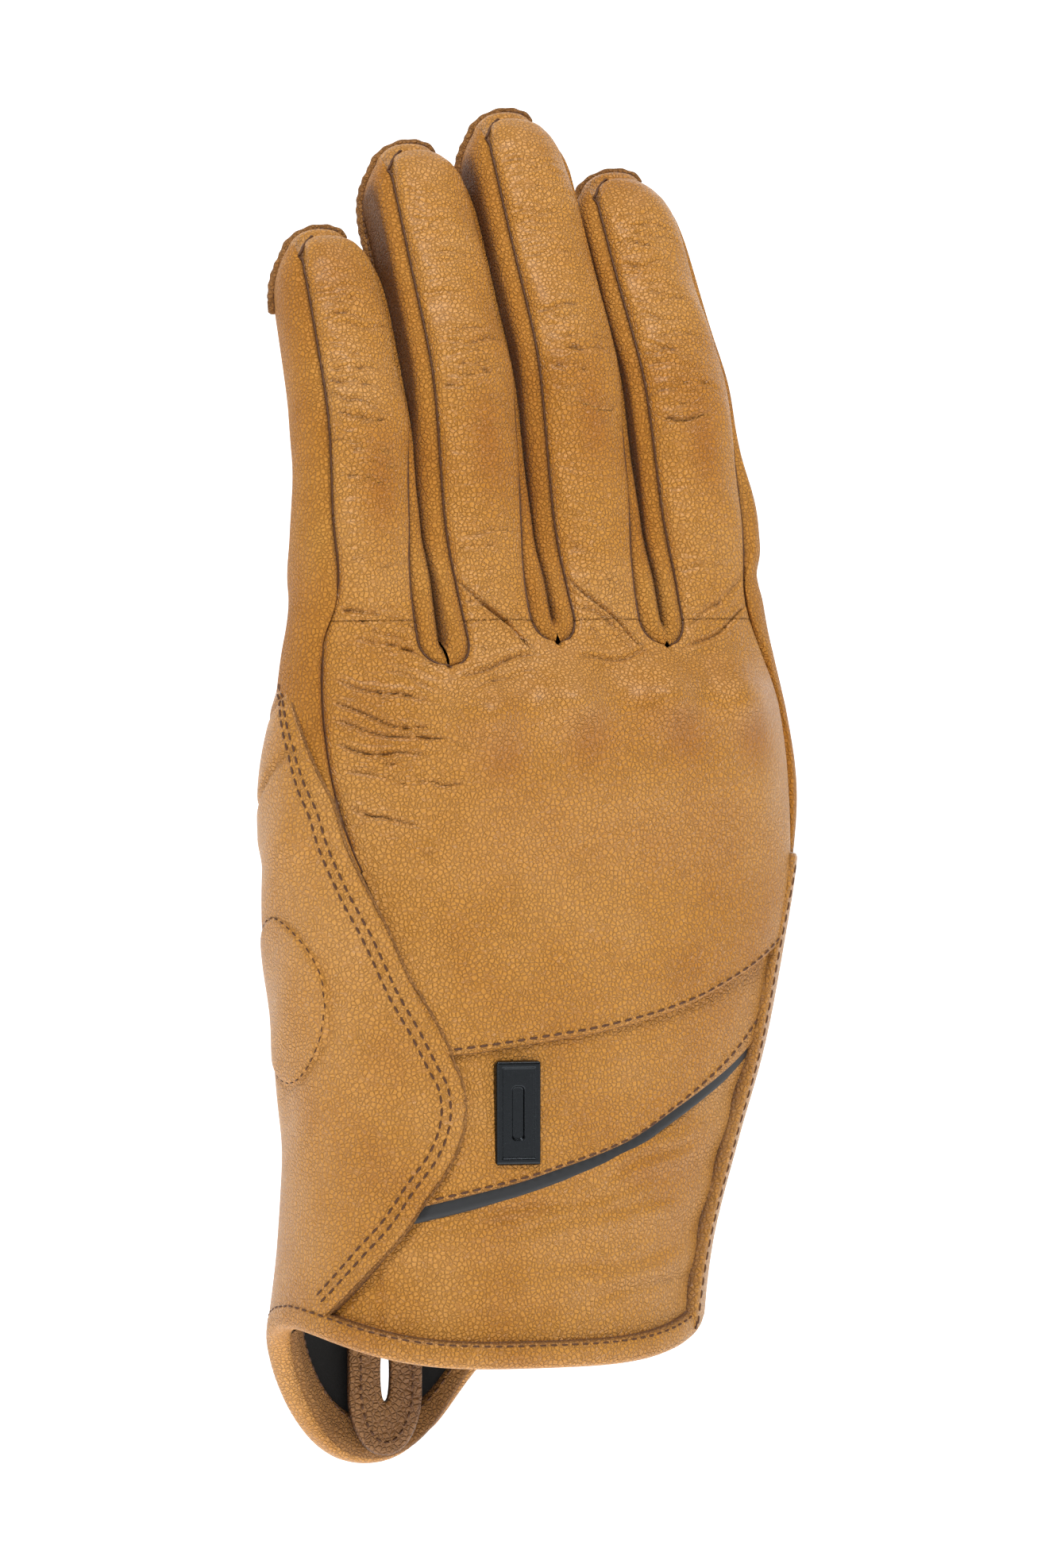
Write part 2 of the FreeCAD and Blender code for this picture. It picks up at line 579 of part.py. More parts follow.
# Lining, knuckle guard and its foam
lining_outer = hand_loft("lining_outer", "leather + lining_gap")
lining_wall = cut("lining_wall", lining_outer, hand_loft("lining_inner",
                                                         "leather + lining_gap + lining"))
lining_open = cut("lining_open", lining_wall, thumb_hole)
lining_slit = cut("lining_slit", lining_open,
                  box("lining_slit_box", ("slit_width", "40", "slit_height"),
                      x="tongue_tip_x - slit_width / 2", y="0", z="slit_bottom_z"))
lining_top = box("lining_top", (big, big, big), x=f"-{BIG / 2}", y=f"-{BIG / 2}",
                 z="crotch_z - leather - layer_gap")
lining_low = cut("lining_low", lining_slit, lining_top)
node(common("lining_piece", lining_low, panel_region), "hand_lining")

guard_outside = common("guard_outside", guard_bulge("guard_out", "leather + layer_gap"), back_half)
guard_inside = common("guard_inside", guard_bulge("guard_in", "leather + layer_gap + guard_shell"),
                      back_half)
guard_wall = cut("guard_wall", guard_outside, guard_inside)
lining_clear = hand_loft("lining_clear", "leather - layer_gap")
node(cut("guard_piece", guard_wall, lining_clear), "knuckle_guard")
foam_block = common("foam_block",
                    guard_bulge("foam_out", "leather + 2 * layer_gap + guard_shell"), back_half)
node(cut("foam_piece", foam_block, lining_clear), "knuckle_foam")

# Crotch gussets: the leather between the finger roots closes the top of the hand
crotch_plate = common("crotch_plate", hand_inner,
                      box("crotch_slab", (big, big, "leather"), x=f"-{BIG / 2}",
                          y=f"-{BIG / 2}", z="crotch_z - leather"))
for finger in FINGERS:
    hole = doc.addObject("Part::Cylinder", f"{finger}_crotch_hole")
    hole.setExpression("Radius", cell("finger_half_width - leather"))
    hole.setExpression("Height", cell("20"))
    place(hole, x=f"{finger}_x", z="crotch_z - 10")
    crotch_plate = cut(f"crotch_without_{finger}", crotch_plate, hole)
node(crotch_plate, "crotch_gussets")

# Patches on the little-finger side and the palm
pad_wall = cut("pad_wall", hand_loft("pad_outer", "-layer_gap - patch_thickness"),
               hand_loft("pad_inner", "-layer_gap"))
quilt_box = box("quilt_box", ("side_reach", "quilt_width", "quilt_height"),
                x="-palm_half_width", y="quilt_y", z="quilt_z")
node(common("quilted_patch_piece", pad_wall, quilt_box), "quilted_patch")
heel_disc = doc.addObject("Part::Cylinder", "heel_disc")
heel_disc.setExpression("Radius", cell("heel_patch_radius"))
heel_disc.setExpression("Height", cell("side_reach"))
place(heel_disc, x="-palm_half_width", y="heel_patch_y", z="heel_patch_z", axis=(0, 1, 0),
      angle="90")
node(common("heel_patch_piece", pad_wall, heel_disc), "heel_patch")

# Wrist strap: sewn at the palm, free round the thumb side
strap_box = box("strap_box", (big, big, "strap_width"), x="strap_root_x", y="strap_end_y",
                z="strap_low_z")
patch_box = box("patch_box", ("patch_width", big, "strap_width - 4"), x="patch_x", y="0",
                z="strap_low_z + 2")
loop_wall = cut("loop_wall", hand_loft("loop_outer", "-layer_gap - patch_thickness"),
                hand_loft("loop_inner", "-layer_gap"))
node(common("loop_piece", loop_wall, patch_box), "strap_loop_patch")
hook_wall = cut("hook_wall", hand_loft("hook_outer", "-3 * layer_gap - 2 * patch_thickness"),
                hand_loft("hook_inner", "-3 * layer_gap - patch_thickness"))
node(common("hook_piece", hook_wall, patch_box), "strap_hook_patch")
strap_wall = cut("strap_wall",
                 hand_loft("strap_outer",
                           "-4 * layer_gap - 2 * patch_thickness - strap_thickness"),
                 hand_loft("strap_inner", "-4 * layer_gap - 2 * patch_thickness"))
node(common("strap_piece", strap_wall, strap_box), "wrist_strap")


def plate(label, width, height, thickness, corner):
    """A flat plate with round corners, padded from a sketch in the XZ plane."""
    body = doc.addObject("PartDesign::Body", label)
    plane = next(f for f in body.Origin.OriginFeatures if f.Role == "XZ_Plane")
    outline = body.newObject("Sketcher::SketchObject", f"{label}_outline")
    outline.AttachmentSupport = [(plane, "")]
    outline.MapMode = "FlatFace"
    corners = [(-1, -1), (1, -1), (1, 1), (-1, 1)]
    points = [FreeCAD.Vector(a * 5, b * 5, 0) for a, b in corners]
    for first, second in zip(points, points[1:] + points[:1]):
        outline.addGeometry(Part.LineSegment(first, second), False)
    for index in range(4):
        outline.addConstraint(Sketcher.Constraint("Coincident", index, 2, (index + 1) % 4, 1))
    for index, kind in enumerate(("Horizontal", "Vertical", "Horizontal", "Vertical")):
        outline.addConstraint(Sketcher.Constraint(kind, index))
    outline.addConstraint(Sketcher.Constraint("Symmetric", 0, 1, 1, 2, -1, 1))
    outline.addConstraint(Sketcher.Constraint("DistanceX", 0, 1, 0, 2, 10))
    outline.renameConstraint(outline.ConstraintCount - 1, "width")
    outline.addConstraint(Sketcher.Constraint("DistanceY", 1, 1, 1, 2, 10))
    outline.renameConstraint(outline.ConstraintCount - 1, "height")
    outline.setExpression("Constraints.width", cell(width))
    outline.setExpression("Constraints.height", cell(height))
    pad = body.newObject("PartDesign::Pad", f"{label}_pad")
    pad.Profile = outline
    pad.setExpression("Length", cell(thickness))
    doc.recompute()
    upright = [f"Edge{i + 1}" for i, edge in enumerate(pad.Shape.Edges)
               if abs(edge.tangentAt(edge.FirstParameter).y) > 0.99]
    rounded = body.newObject("PartDesign::Fillet", f"{label}_corners")
    rounded.Base = (pad, upright)
    rounded.setExpression("Radius", cell(corner))
    body.Tip = rounded
    doc.recompute()
    return body


badge = plate("badge", "badge_width", "badge_height", "badge_thickness", "badge_corner")
place(badge, x="badge_x", y="badge_y", z="badge_z", axis=(0, 0, -1), angle="8")
node(badge, "badge")

tab_blank = plate("pull_tab_blank", "tab_width", "tab_height", "tab_thickness", "tab_corner")
place(tab_blank, x="tongue_tip_x", y="tab_y", z="tab_bottom_z + tab_height / 2")
tab_slit = box("tab_slit", ("slit_width", "10", "slit_height"),
               x="tongue_tip_x - slit_width / 2", y="tab_y - 5", z="slit_bottom_z")
node(cut("pull_tab_piece", tab_blank, tab_slit), "pull_tab")

# Fingers
for finger in FINGERS:
    node(finger_root(finger), f"{finger}_root")
    lower_segment(finger)
    upper_segment(finger)
    node(fold_ring(f"{finger}_knuckle", ("finger_half_width", "finger_half_depth"),
                   "knuckle_palm_angle", "0", "lower_tilt", f"{finger}_x", "hinge_y",
                   "knuckle_hinge_z"), f"{finger}_knuckle_fold")
    joint_y, joint_z = middle_joint(finger)
    lower_turn = "lower_tilt * 1 deg"
    node(fold_ring(f"{finger}_middle", ("joint_half_width", "joint_half_depth"),
                   "middle_palm_angle", "lower_tilt", "upper_tilt", f"{finger}_x",
                   f"{joint_y} + hinge_y * cos( {lower_turn} )",
                   f"{joint_z} - hinge_y * sin( {lower_turn} )"), f"{finger}_middle_fold")

doc.recompute()
failed = [item.Name for item in doc.Objects if {"Invalid", "Error"} & set(item.State)]
if failed:
    raise RuntimeError(f"failed objects: {failed}")
for item in NODES:
    if item.Shape.isNull() or not item.Shape.isValid() or not item.Shape.Solids:
        raise RuntimeError(f"bad shape: {item.Label}")

os.makedirs("parts", exist_ok=True)
for item in NODES:
    item.Shape.exportStep(f"parts/{item.Label}.step")
    print(f"{item.Label}: {item.Shape.Volume:.0f} mm3, {len(item.Shape.Solids)} solids")
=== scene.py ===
"""A left-hand driving glove of caramel goat leather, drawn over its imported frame.

All shapes are worked out in millimetres in a "straight" glove, whose fingers stand upright along z,
and each finger is then bent along its own middle line to the rest pose of the frame.
"""
import json

import bmesh
import bpy
import numpy as np
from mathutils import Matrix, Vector
from mathutils.bvhtree import BVHTree


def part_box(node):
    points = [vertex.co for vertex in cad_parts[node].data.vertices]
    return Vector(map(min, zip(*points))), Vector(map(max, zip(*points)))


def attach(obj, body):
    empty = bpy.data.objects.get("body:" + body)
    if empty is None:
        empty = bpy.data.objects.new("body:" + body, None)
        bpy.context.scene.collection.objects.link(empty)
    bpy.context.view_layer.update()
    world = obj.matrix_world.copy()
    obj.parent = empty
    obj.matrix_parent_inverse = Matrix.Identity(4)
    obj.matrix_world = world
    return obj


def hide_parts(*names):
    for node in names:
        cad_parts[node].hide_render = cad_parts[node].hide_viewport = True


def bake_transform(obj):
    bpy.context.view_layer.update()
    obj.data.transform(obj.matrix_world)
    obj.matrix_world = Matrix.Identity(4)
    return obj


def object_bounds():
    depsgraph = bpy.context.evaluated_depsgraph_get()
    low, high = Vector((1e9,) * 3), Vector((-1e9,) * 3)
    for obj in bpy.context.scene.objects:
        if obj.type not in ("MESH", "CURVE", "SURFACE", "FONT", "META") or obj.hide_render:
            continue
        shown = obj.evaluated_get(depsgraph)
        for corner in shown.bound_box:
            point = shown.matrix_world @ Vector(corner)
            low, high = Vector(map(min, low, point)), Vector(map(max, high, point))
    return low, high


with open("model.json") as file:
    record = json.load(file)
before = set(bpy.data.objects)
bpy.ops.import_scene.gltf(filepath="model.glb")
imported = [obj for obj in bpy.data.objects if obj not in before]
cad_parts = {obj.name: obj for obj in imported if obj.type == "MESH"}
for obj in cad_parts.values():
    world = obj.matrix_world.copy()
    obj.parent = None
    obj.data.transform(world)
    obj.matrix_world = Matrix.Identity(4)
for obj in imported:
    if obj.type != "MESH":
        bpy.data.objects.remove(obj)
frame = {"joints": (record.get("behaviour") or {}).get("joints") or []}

MM = 0.001
CAD_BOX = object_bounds()
FINGERS = ("pinky", "ring", "middle", "index")
HINGES = {j["name"]: np.array(j["pos_m"]) / MM for j in frame["joints"]}

# ---------------------------------------------------------------- driving sizes, mm and degrees
CROTCH = {"pinky": 136.4, "ring": 141.0, "middle": 140.2}    # bottom of each U, right of a finger
SPLIT_HAND = 144.5            # above this the finger pieces start
UPPER_LENGTH = {"pinky": 44.5, "ring": 54.0, "middle": 57.0, "index": 49.0}
LEAN = {"pinky": 2.5, "ring": 0.0, "middle": -1.5, "index": -4.0}    # of the tip, along x
LOWER_TILT, UPPER_TILT, TIP_TILT = 10.0, 28.0, 8.0
ROUND = 2.25                  # exponent of the rounded cross-sections
HAND_MIDDLE = 8.0             # x of the line that panels face away from
U_RADIUS = 4.8                # of the round bottom between two fingers
TIP_LENGTH = 12.5             # height of a finger's round end


def smooth(x, low, high):
    """0 below low, 1 above high, and a smooth step between."""
    t = np.clip((np.asarray(x, float) - low) / (high - low), 0.0, 1.0)
    return t * t * (3.0 - 2.0 * t)


def through(x, xs, ys):
    """A smooth cubic curve through the points (xs, ys), flat beyond its ends."""
    xs, ys = np.asarray(xs, float), np.asarray(ys, float)
    slopes = np.gradient(ys, xs)
    x = np.clip(x, xs[0], xs[-1])
    i = np.clip(np.searchsorted(xs, x) - 1, 0, len(xs) - 2)
    h = xs[i + 1] - xs[i]
    t = (x - xs[i]) / h
    return ((1 + 2 * t) * (1 - t) ** 2 * ys[i] + t * (1 - t) ** 2 * h * slopes[i]
            + t * t * (3 - 2 * t) * ys[i + 1] + t * t * (t - 1) * h * slopes[i + 1])


def power(v):
    """|v| to the power that turns a circle into the rounded cross-section, with v's sign."""
    return np.sign(v) * np.abs(v) ** (2.0 / ROUND)


def rounded(near, radius):
    """A quarter round: 0 at an edge, 1 at a distance of radius from it and beyond."""
    return np.sqrt(np.clip(1 - (1 - np.clip(near / radius, 0, 1)) ** 2, 0, 1))


def seam_shade(gap):
    """Painted shade in a sewn seam's valley: strong on its line, gone half a millimetre away."""
    return 0.85 * np.exp(-(gap / 0.34) ** 2)


def unit(vectors):
    """Each row scaled to length 1."""
    return vectors / np.linalg.norm(vectors, axis=-1, keepdims=True)


# ---------------------------------------------------------------- the hand's own surface
# Middle x, half width, and half depths at the back and the palm, at the heights HAND_Z.
HAND_Z = (-26.0, 0.0, 22.0, 42.0, 60.0, 80.0, 97.0, 112.0, 126.0, 138.0, 150.0)
HAND_X = (-0.7, -0.6, 1.9, 5.1, 7.2, 8.4, 9.4, 10.1, 9.9, 9.2, 9.0)
HAND_WIDE = (42.3, 42.3, 42.4, 45.0, 48.8, 52.1, 54.2, 54.5, 52.7, 50.5, 48.5)
HAND_BACK = (28.0, 28.0, 27.0, 26.0, 25.0, 24.0, 22.8, 21.4, 19.8, 17.0, 14.0)
HAND_PALM = (28.5, 28.5, 27.5, 26.0, 25.0, 24.5, 23.5, 22.0, 20.5, 18.0, 15.0)
GUARD_RISE = 4.4              # of the guard's plateau under the leather
GUARD_KNUCKLES = (            # x, z and extra height of each knuckle
    (-10.5, 127.0, 4.6), (8.0, 130.5, 5.6), (29.0, 131.5, 5.6), (46.0, 130.5, 4.8))


def guard_bulge(x, z):
    """Height of the hidden knuckle guard: a soft plateau with a bump over each knuckle."""
    plateau = smooth(x, -26.0, -8.0) * (1 - smooth(x, 50.0, 66.0))
    plateau = plateau * smooth(z, 90.0, 116.0) * (1 - smooth(z, 127.0, 140.0))
    height = GUARD_RISE * plateau
    for kx, kz, h in GUARD_KNUCKLES:
        height = height + h * np.exp(-((x - kx) / 7.0) ** 2 - ((z - kz) / 6.4) ** 2)
    return height


def hand_sizes(z):
    """Middle x, half width, and half depth at the back and the palm, at height z."""
    return (through(z, HAND_Z, HAND_X), through(z, HAND_Z, HAND_WIDE),
            through(z, HAND_Z, HAND_BACK), through(z, HAND_Z, HAND_PALM))


def hand(angle, z, lift=0.0):
    """A point of the hand at an angle from the thumb side, 90 at the back and 270 at the palm.

    The section is a rounded ellipse, with the knuckle guard's bulge added at the back.
    """
    middle, wide, back, palm = hand_sizes(z)
    c, s = np.cos(np.radians(angle)), np.sin(np.radians(angle))
    x = middle + (wide + lift) * power(c)
    deep = np.where(s > 0, back, palm) + lift
    y = -deep * power(s)
    y = y - guard_bulge(x, z) * smooth(s, 0.0, 0.5)
    return np.stack([x, y, z + 0 * x], -1)


def back_angle(x, z):
    """The angle at which the back of the hand has this x."""
    middle, wide, _, _ = hand_sizes(z)
    xi = np.clip((x - middle) / wide, -1.0, 1.0)
    c = np.sign(xi) * np.abs(xi) ** (ROUND / 2.0)
    return np.degrees(np.arccos(c))


def hand_y(x, z, palm=False):
    """y of the hand's back, or palm, at x and z."""
    middle, wide, back, front = hand_sizes(z)
    xi = np.clip(np.abs((x - middle) / wide), 0.0, 0.9995)
    y = (1 - xi ** ROUND) ** (1 / ROUND)
    return front * y if palm else -back * y - guard_bulge(x, z) * smooth(y, 0.0, 0.5)


# ---------------------------------------------------------------- edges of the panels on the hand
# The side panel's folded edge (z, x), and the wrist band's top and bottom lines (x, z).
SIDE_EDGE_Z = (8.0, 15.2, 19.2, 25.0, 32.0, 38.3, 44.8, 50.7, 56.0, 60.0, 66.5, 73.5, 85.4,
               94.4, 101.0, 110.0, 115.0, 125.0, 134.0, 139.5)
SIDE_EDGE_X = (-39.4, -34.2, -31.2, -26.6, -22.2, -17.9, -15.2, -14.5, -15.3, -17.2, -20.2, -23.8,
               -28.7, -32.8, -35.3, -37.4, -39.2, -41.4, -42.2, -42.6)
BAND_TOP = ((-26.0, -18.0, -2.3, 15.8, 27.0, 35.3, 41.5, 50.5, 58.7, 64.0),
            (60.8, 61.4, 63.4, 66.2, 68.8, 71.4, 74.0, 78.3, 83.4, 87.0))
BAND_BOTTOM = ((-28.0, -20.7, -12.0, -2.2, 5.6, 13.5, 22.3, 29.6, 36.3, 43.6, 50.6, 56.0),
               (30.6, 32.4, 34.4, 36.7, 39.0, 41.4, 44.9, 49.4, 53.6, 58.6, 64.6, 69.6))
SLIT_WIDE, SLIT_LOW, SLIT_HIGH = 2.2, -10.4, 1.2      # slit of the pull tab
SLIT_SLANT = 0.445            # sideways step of the opening behind the slit, per mm of depth
STITCH_BACK = 1.5             # from a folded edge to its row of stitches
STRIP_WIDTH = 2.8             # of the reflective strip in view
# The thumb-side seam: its angle round the hand, by height.
SEAM_ANGLE_Z, SEAM_ANGLE = (0.0, 24.0, 50.0, 84.0, 100.0), (38.0, 33.0, 30.5, 27.5, 22.0)
SIDE_PALM_ANGLE = 236.0       # where the side panel meets the palm panel
PALM_TOP = 142.0              # height of the palm leather's upper edge


def side_edge(z):
    """x of the little-finger side panel's folded edge."""
    return through(z, SIDE_EDGE_Z, SIDE_EDGE_X)


CUFF_X, CUFF_WIDE = 0.6, 43.6                         # middle and half width of the cuff
TONGUE_X, TONGUE_Z = -13.0, -22.8                     # lowest point of the cuff's tongue
TAB_Y = 20.8                                          # middle of the pull tab's thickness
# The tongue's outline: distance aside from its lowest point, and rise above it, on each side.
LEFT_OUT = (0.0, 5.0, 9.6, 15.0, 21.2, 25.0, 30.5)
LEFT_RISE = (0.0, 0.7, 2.6, 7.0, 14.9, 21.0, 30.0)
RIGHT_OUT = (0.0, 5.0, 9.6, 15.0, 21.2, 25.0, 32.0, 45.0, 58.0)
RIGHT_RISE = (0.0, 0.7, 2.6, 7.0, 14.9, 19.5, 24.5, 28.0, 30.0)


def cuff_z(angle):
    """Height of the cuff's edge: nearly level at the back, and a round tongue at the palm."""
    angle = np.asarray(angle, float) % 360.0
    side = np.cos(np.radians(angle))
    back = -0.2 + 7.4 * np.abs(side) ** 3.2
    x = CUFF_X + CUFF_WIDE * power(side)
    out = np.abs(x - TONGUE_X)
    rise = np.where(x < TONGUE_X, through(out, LEFT_OUT, LEFT_RISE),
                    through(out, RIGHT_OUT, RIGHT_RISE))
    return np.where(angle <= 180.0, back, TONGUE_Z + rise)


def finger_marks(f):
    """Heights along a finger: knuckle joint, middle joint and tip."""
    knuckle = HINGES[f"{f}_knuckle"]
    middle = HINGES[f"{f}_middle_joint"]
    first = knuckle[2] + np.linalg.norm(middle - knuckle)
    return knuckle[2], first, first + UPPER_LENGTH[f]


def finger_x(f, s):
    """x of a finger's middle line, with its lean above the knuckle joint."""
    knuckle, _, tip = finger_marks(f)
    return HINGES[f"{f}_knuckle"][0] + LEAN[f] * smooth(s, knuckle, tip) ** 0.8


def finger_sizes(f, s):
    """Half width, back height and palm height of a finger's section at height s."""
    knuckle, middle, tip = finger_marks(f)
    q = np.clip((s - (tip - TIP_LENGTH)) / TIP_LENGTH, 0.0, 1.0)
    close = np.sqrt(np.clip(1.0 - q ** 2.2, 0.0, 1.0))
    marks = (SPLIT_HAND - 8, knuckle + 8, middle - 7, middle, middle + 10, tip - 14, tip)
    small = {"pinky": 0.99, "index": 1.04}.get(f, 1.0)
    wide = through(s, marks, (12.0, 11.9, 11.5, 11.65, 11.2, 10.6, 9.6)) * small
    back = through(s, marks, (11.6, 10.9, 10.3, 10.9, 9.9, 9.0, 8.3)) * small
    palm = through(s, marks, (11.0, 11.4, 9.6, 9.4, 9.8, 9.2, 8.2)) * small
    return wide * close, back * close, palm * close


def seam_angle(s, side=-1):
    """Angle of the back seams on a finger's section, measured from the side.

    The thumb-side seam turns out of sight along the finger.
    """
    if side < 0:
        return 56.0 - 10.0 * smooth(s, 138.0, 168.0)
    return 56.0 - 32.0 * smooth(s, 140.0, 192.0)


def spine(f):
    """A finger's middle line in the y-z plane: heights s, tilts, and its y and z."""
    knuckle, middle, tip = finger_marks(f)
    s = np.arange(100.0, tip + 3.0, 0.5)
    tilt = (LOWER_TILT * smooth(s, knuckle - 10, knuckle + 9)
            + (UPPER_TILT - LOWER_TILT) * smooth(s, middle - 13, middle + 13)
            + TIP_TILT * smooth(s, tip - 24, tip))
    turn = np.radians(tilt)
    y = np.cumsum(np.sin(turn)) * 0.5
    z = 100.0 + np.concatenate([[0.0], np.cumsum(np.cos(turn[1:])) * 0.5])
    return s, turn, y - y[0], z


SPINES = {f: spine(f) for f in FINGERS}


def bend(f, points):
    """Carry straight-glove points along the finger's bent middle line."""
    s, turn, y, z = SPINES[f]
    at = points[..., 2]
    angle = np.interp(at, s, turn)
    out = points.copy()
    above = at > 100.0
    out[..., 1] = np.where(above, np.interp(at, s, y) + points[..., 1] * np.cos(angle),
                           points[..., 1])
    out[..., 2] = np.where(above, np.interp(at, s, z) - points[..., 1] * np.sin(angle), at)
    return out


def rise(s):
    """0 in the hand and 1 in the free finger."""
    return smooth(s, 137.0, 158.0)


# ---------------------------------------------------------------- wrinkles
def crease(x, s, start, end, bow=0.0, depth=0.4, width=0.55):
    """Height of one wrinkle: a valley from start to end, (x, s), with a swell on each side."""
    along = (x - start[0]) / (end[0] - start[0])
    line = start[1] + (end[1] - start[1]) * along + bow * 4 * along * (1 - along)
    line = line + 0.35 * np.sin(along * 9.0 + start[1])
    gap = (s - line) / width
    fade = smooth(along, -0.08, 0.22) * (1 - smooth(along, 0.72, 1.08))
    valley = -np.exp(-gap ** 2) + 0.6 * np.exp(-((np.abs(gap) - 2.6) / 1.6) ** 2)
    return depth * fade * valley


def add_creases(height, lines, x, s):
    """A height with the wrinkles of a list added to it."""
    for start, end, bow, depth, width in lines:
        height = height + crease(x, s, start, end, bow, depth, width)
    return height


def finger_creases(f):
    """The wrinkles across a finger's back: a group at each joint and fine ones between."""
    knuckle, middle, tip = finger_marks(f)
    rng = np.random.default_rng(FINGERS.index(f) + 11)
    lines = []
    for mark, spread, count, depth in ((middle, 9.0, 13, 0.36), (tip - 25, 12.0, 13, 0.26),
                                       (knuckle + 3, 7.0, 5, 0.28),
                                       ((knuckle + middle) / 2, 12.0, 8, 0.14)):
        for k in range(count):
            s = mark + spread * (2 * (k + rng.uniform(0.1, 0.9)) / count - 1)
            left = rng.uniform(-10.5, -4.0)
            reach = rng.uniform(7.0, 15.0)
            drop = rng.uniform(-3.0, 1.6)
            lines.append(((left, s), (left + reach, s + drop), rng.uniform(-0.9, 0.9),
                          depth * rng.uniform(0.55, 1.25), rng.uniform(0.26, 0.46)))
    return lines


FINGER_CREASES = {f: finger_creases(f) for f in FINGERS}
HAND_CREASES = (              # start, end, bow, depth, width, on the back near the little finger
    ((-37.5, 134.0), (-18.0, 129.5), -1.0, 0.42, 0.36),
    ((-38.5, 130.5), (-20.0, 124.0), -1.8, 0.50, 0.36),
    ((-38.8, 126.0), (-19.0, 121.6), -0.8, 0.45, 0.36),
    ((-38.0, 121.5), (-20.0, 119.8), -1.6, 0.55, 0.36),
    ((-37.5, 117.0), (-22.0, 113.4), -0.8, 0.35, 0.36),
    ((-36.5, 109.5), (-21.0, 105.4), -1.2, 0.42, 0.42),
    ((-32.0, 141.5), (-14.5, 134.8), 1.0, 0.40, 0.36),
    ((-37.0, 147.0), (-14.5, 140.0), 1.6, 0.50, 0.36),
    ((-34.0, 144.0), (-15.5, 141.5), 1.4, 0.35, 0.34),
    ((-12.0, 152.5), (3.5, 138.0), 0.8, 0.75, 0.34),
    ((-11.5, 149.0), (1.0, 142.5), 0.6, 0.40, 0.36),
    ((11.5, 153.0), (27.5, 138.0), 0.8, 0.75, 0.34),
    ((12.0, 148.0), (24.0, 141.5), 0.6, 0.40, 0.36),
    ((-14.5, 133.6), (4.5, 138.6), 0.6, 0.50, 0.36),
    ((-13.5, 131.2), (1.0, 135.0), 0.6, 0.28, 0.34),
    ((11.0, 138.0), (28.0, 139.2), -1.2, 0.42, 0.36),
    ((36.0, 139.0), (55.0, 148.5), -1.0, 0.45, 0.42),
    ((36.5, 143.0), (53.0, 153.5), -1.0, 0.35, 0.6),
)


def hand_creases():
    """The named wrinkles of the hand's back, and many short fine ones near the little finger."""
    rng = np.random.default_rng(23)
    lines = list(HAND_CREASES)
    for _ in range(34):
        x, s = rng.uniform(-38.0, -22.0), rng.uniform(101.0, 147.0)
        reach = rng.uniform(4.0, 11.0)
        lines.append(((x, s), (x + reach, s - reach * rng.uniform(-0.1, 0.5)),
                      rng.uniform(-0.6, 0.6), rng.uniform(0.14, 0.32), rng.uniform(0.26, 0.4)))
    for _ in range(30):
        x, s = rng.uniform(-16.0, 46.0), rng.uniform(136.0, 154.0)
        reach = rng.uniform(2.5, 7.0)
        lines.append(((x, s), (x + reach, s + reach * rng.uniform(-0.9, 0.6)),
                      rng.uniform(-0.5, 0.5), rng.uniform(0.12, 0.28), rng.uniform(0.24, 0.36)))
    return lines


ALL_HAND_CREASES = hand_creases()


def creases(f, x, s):
    """The sharp wrinkles on the back of a finger's column, faded out under the guard."""
    local = x - finger_x(f, s)
    height = add_creases(0.0 * x, FINGER_CREASES[f], local, s) * smooth(s, 146.0, 154.0)
    return add_creases(height, ALL_HAND_CREASES, x, s)


def wrinkles(f, x, s):
    """The sharp wrinkles with a slow ripple and broad swells added."""
    local = x - finger_x(f, s)
    ripple = np.sin(s * 1.9 + 1.3 * np.sin(local * 0.5) + FINGERS.index(f)) * 0.035
    broad = 0.35 * np.sin(s * 0.31 + 0.22 * local + 2 * FINGERS.index(f)) * np.sin(local * 0.19)
    return creases(f, x, s) + (ripple + broad) * smooth(s, 150.0, 160.0)


# ---------------------------------------------------------------- meshes
def grid_faces(rows, columns):
    """Quads of a rows by columns grid of vertices."""
    index = np.arange(rows * columns).reshape(rows, columns)
    return np.stack([index[:-1, :-1], index[:-1, 1:], index[1:, 1:], index[1:, :-1]],
                    -1).reshape(-1, 4)


def grid_normals(points, flip=False):
    """Unit normals of a grid of points, from the differences along both directions."""
    down = np.gradient(points, axis=0)
    across = np.gradient(points, axis=1)
    normal = np.cross(across, down)
    size = np.linalg.norm(normal, axis=-1, keepdims=True)
    normal = normal / np.maximum(size, 1e-9)
    return -normal if flip else normal


def ring_faces(rows, columns):
    """Quads of a grid of vertices that closes on itself both ways."""
    index = np.arange(rows * columns).reshape(rows, columns)
    down, right = np.roll(index, -1, axis=0), np.roll(index, -1, axis=1)
    both = np.roll(down, -1, axis=1)
    return np.stack([index, down, both, right], -1).reshape(-1, 4)


def put_in_scene(name, data, material, body=None):
    """An object of a mesh, with its material, riding on its body if it has just one."""
    item = bpy.data.objects.new(name, data)
    bpy.context.scene.collection.objects.link(item)
    data.materials.append(material)
    if body is not None:
        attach(item, body)
    return item


def smooth_mesh(name, vertices, faces):
    """Mesh data from metre points and lists of corners, shaded smooth."""
    data = bpy.data.meshes.new(name)
    data.from_pydata(vertices.tolist(), [], faces)
    data.polygons.foreach_set("use_smooth", np.ones(len(data.polygons), bool))
    return data


def thicken(item, depth):
    """Give an open panel a thickness, inwards."""
    solid = item.modifiers.new("thickness", "SOLIDIFY")
    solid.thickness = depth * MM
    solid.offset = -1.0


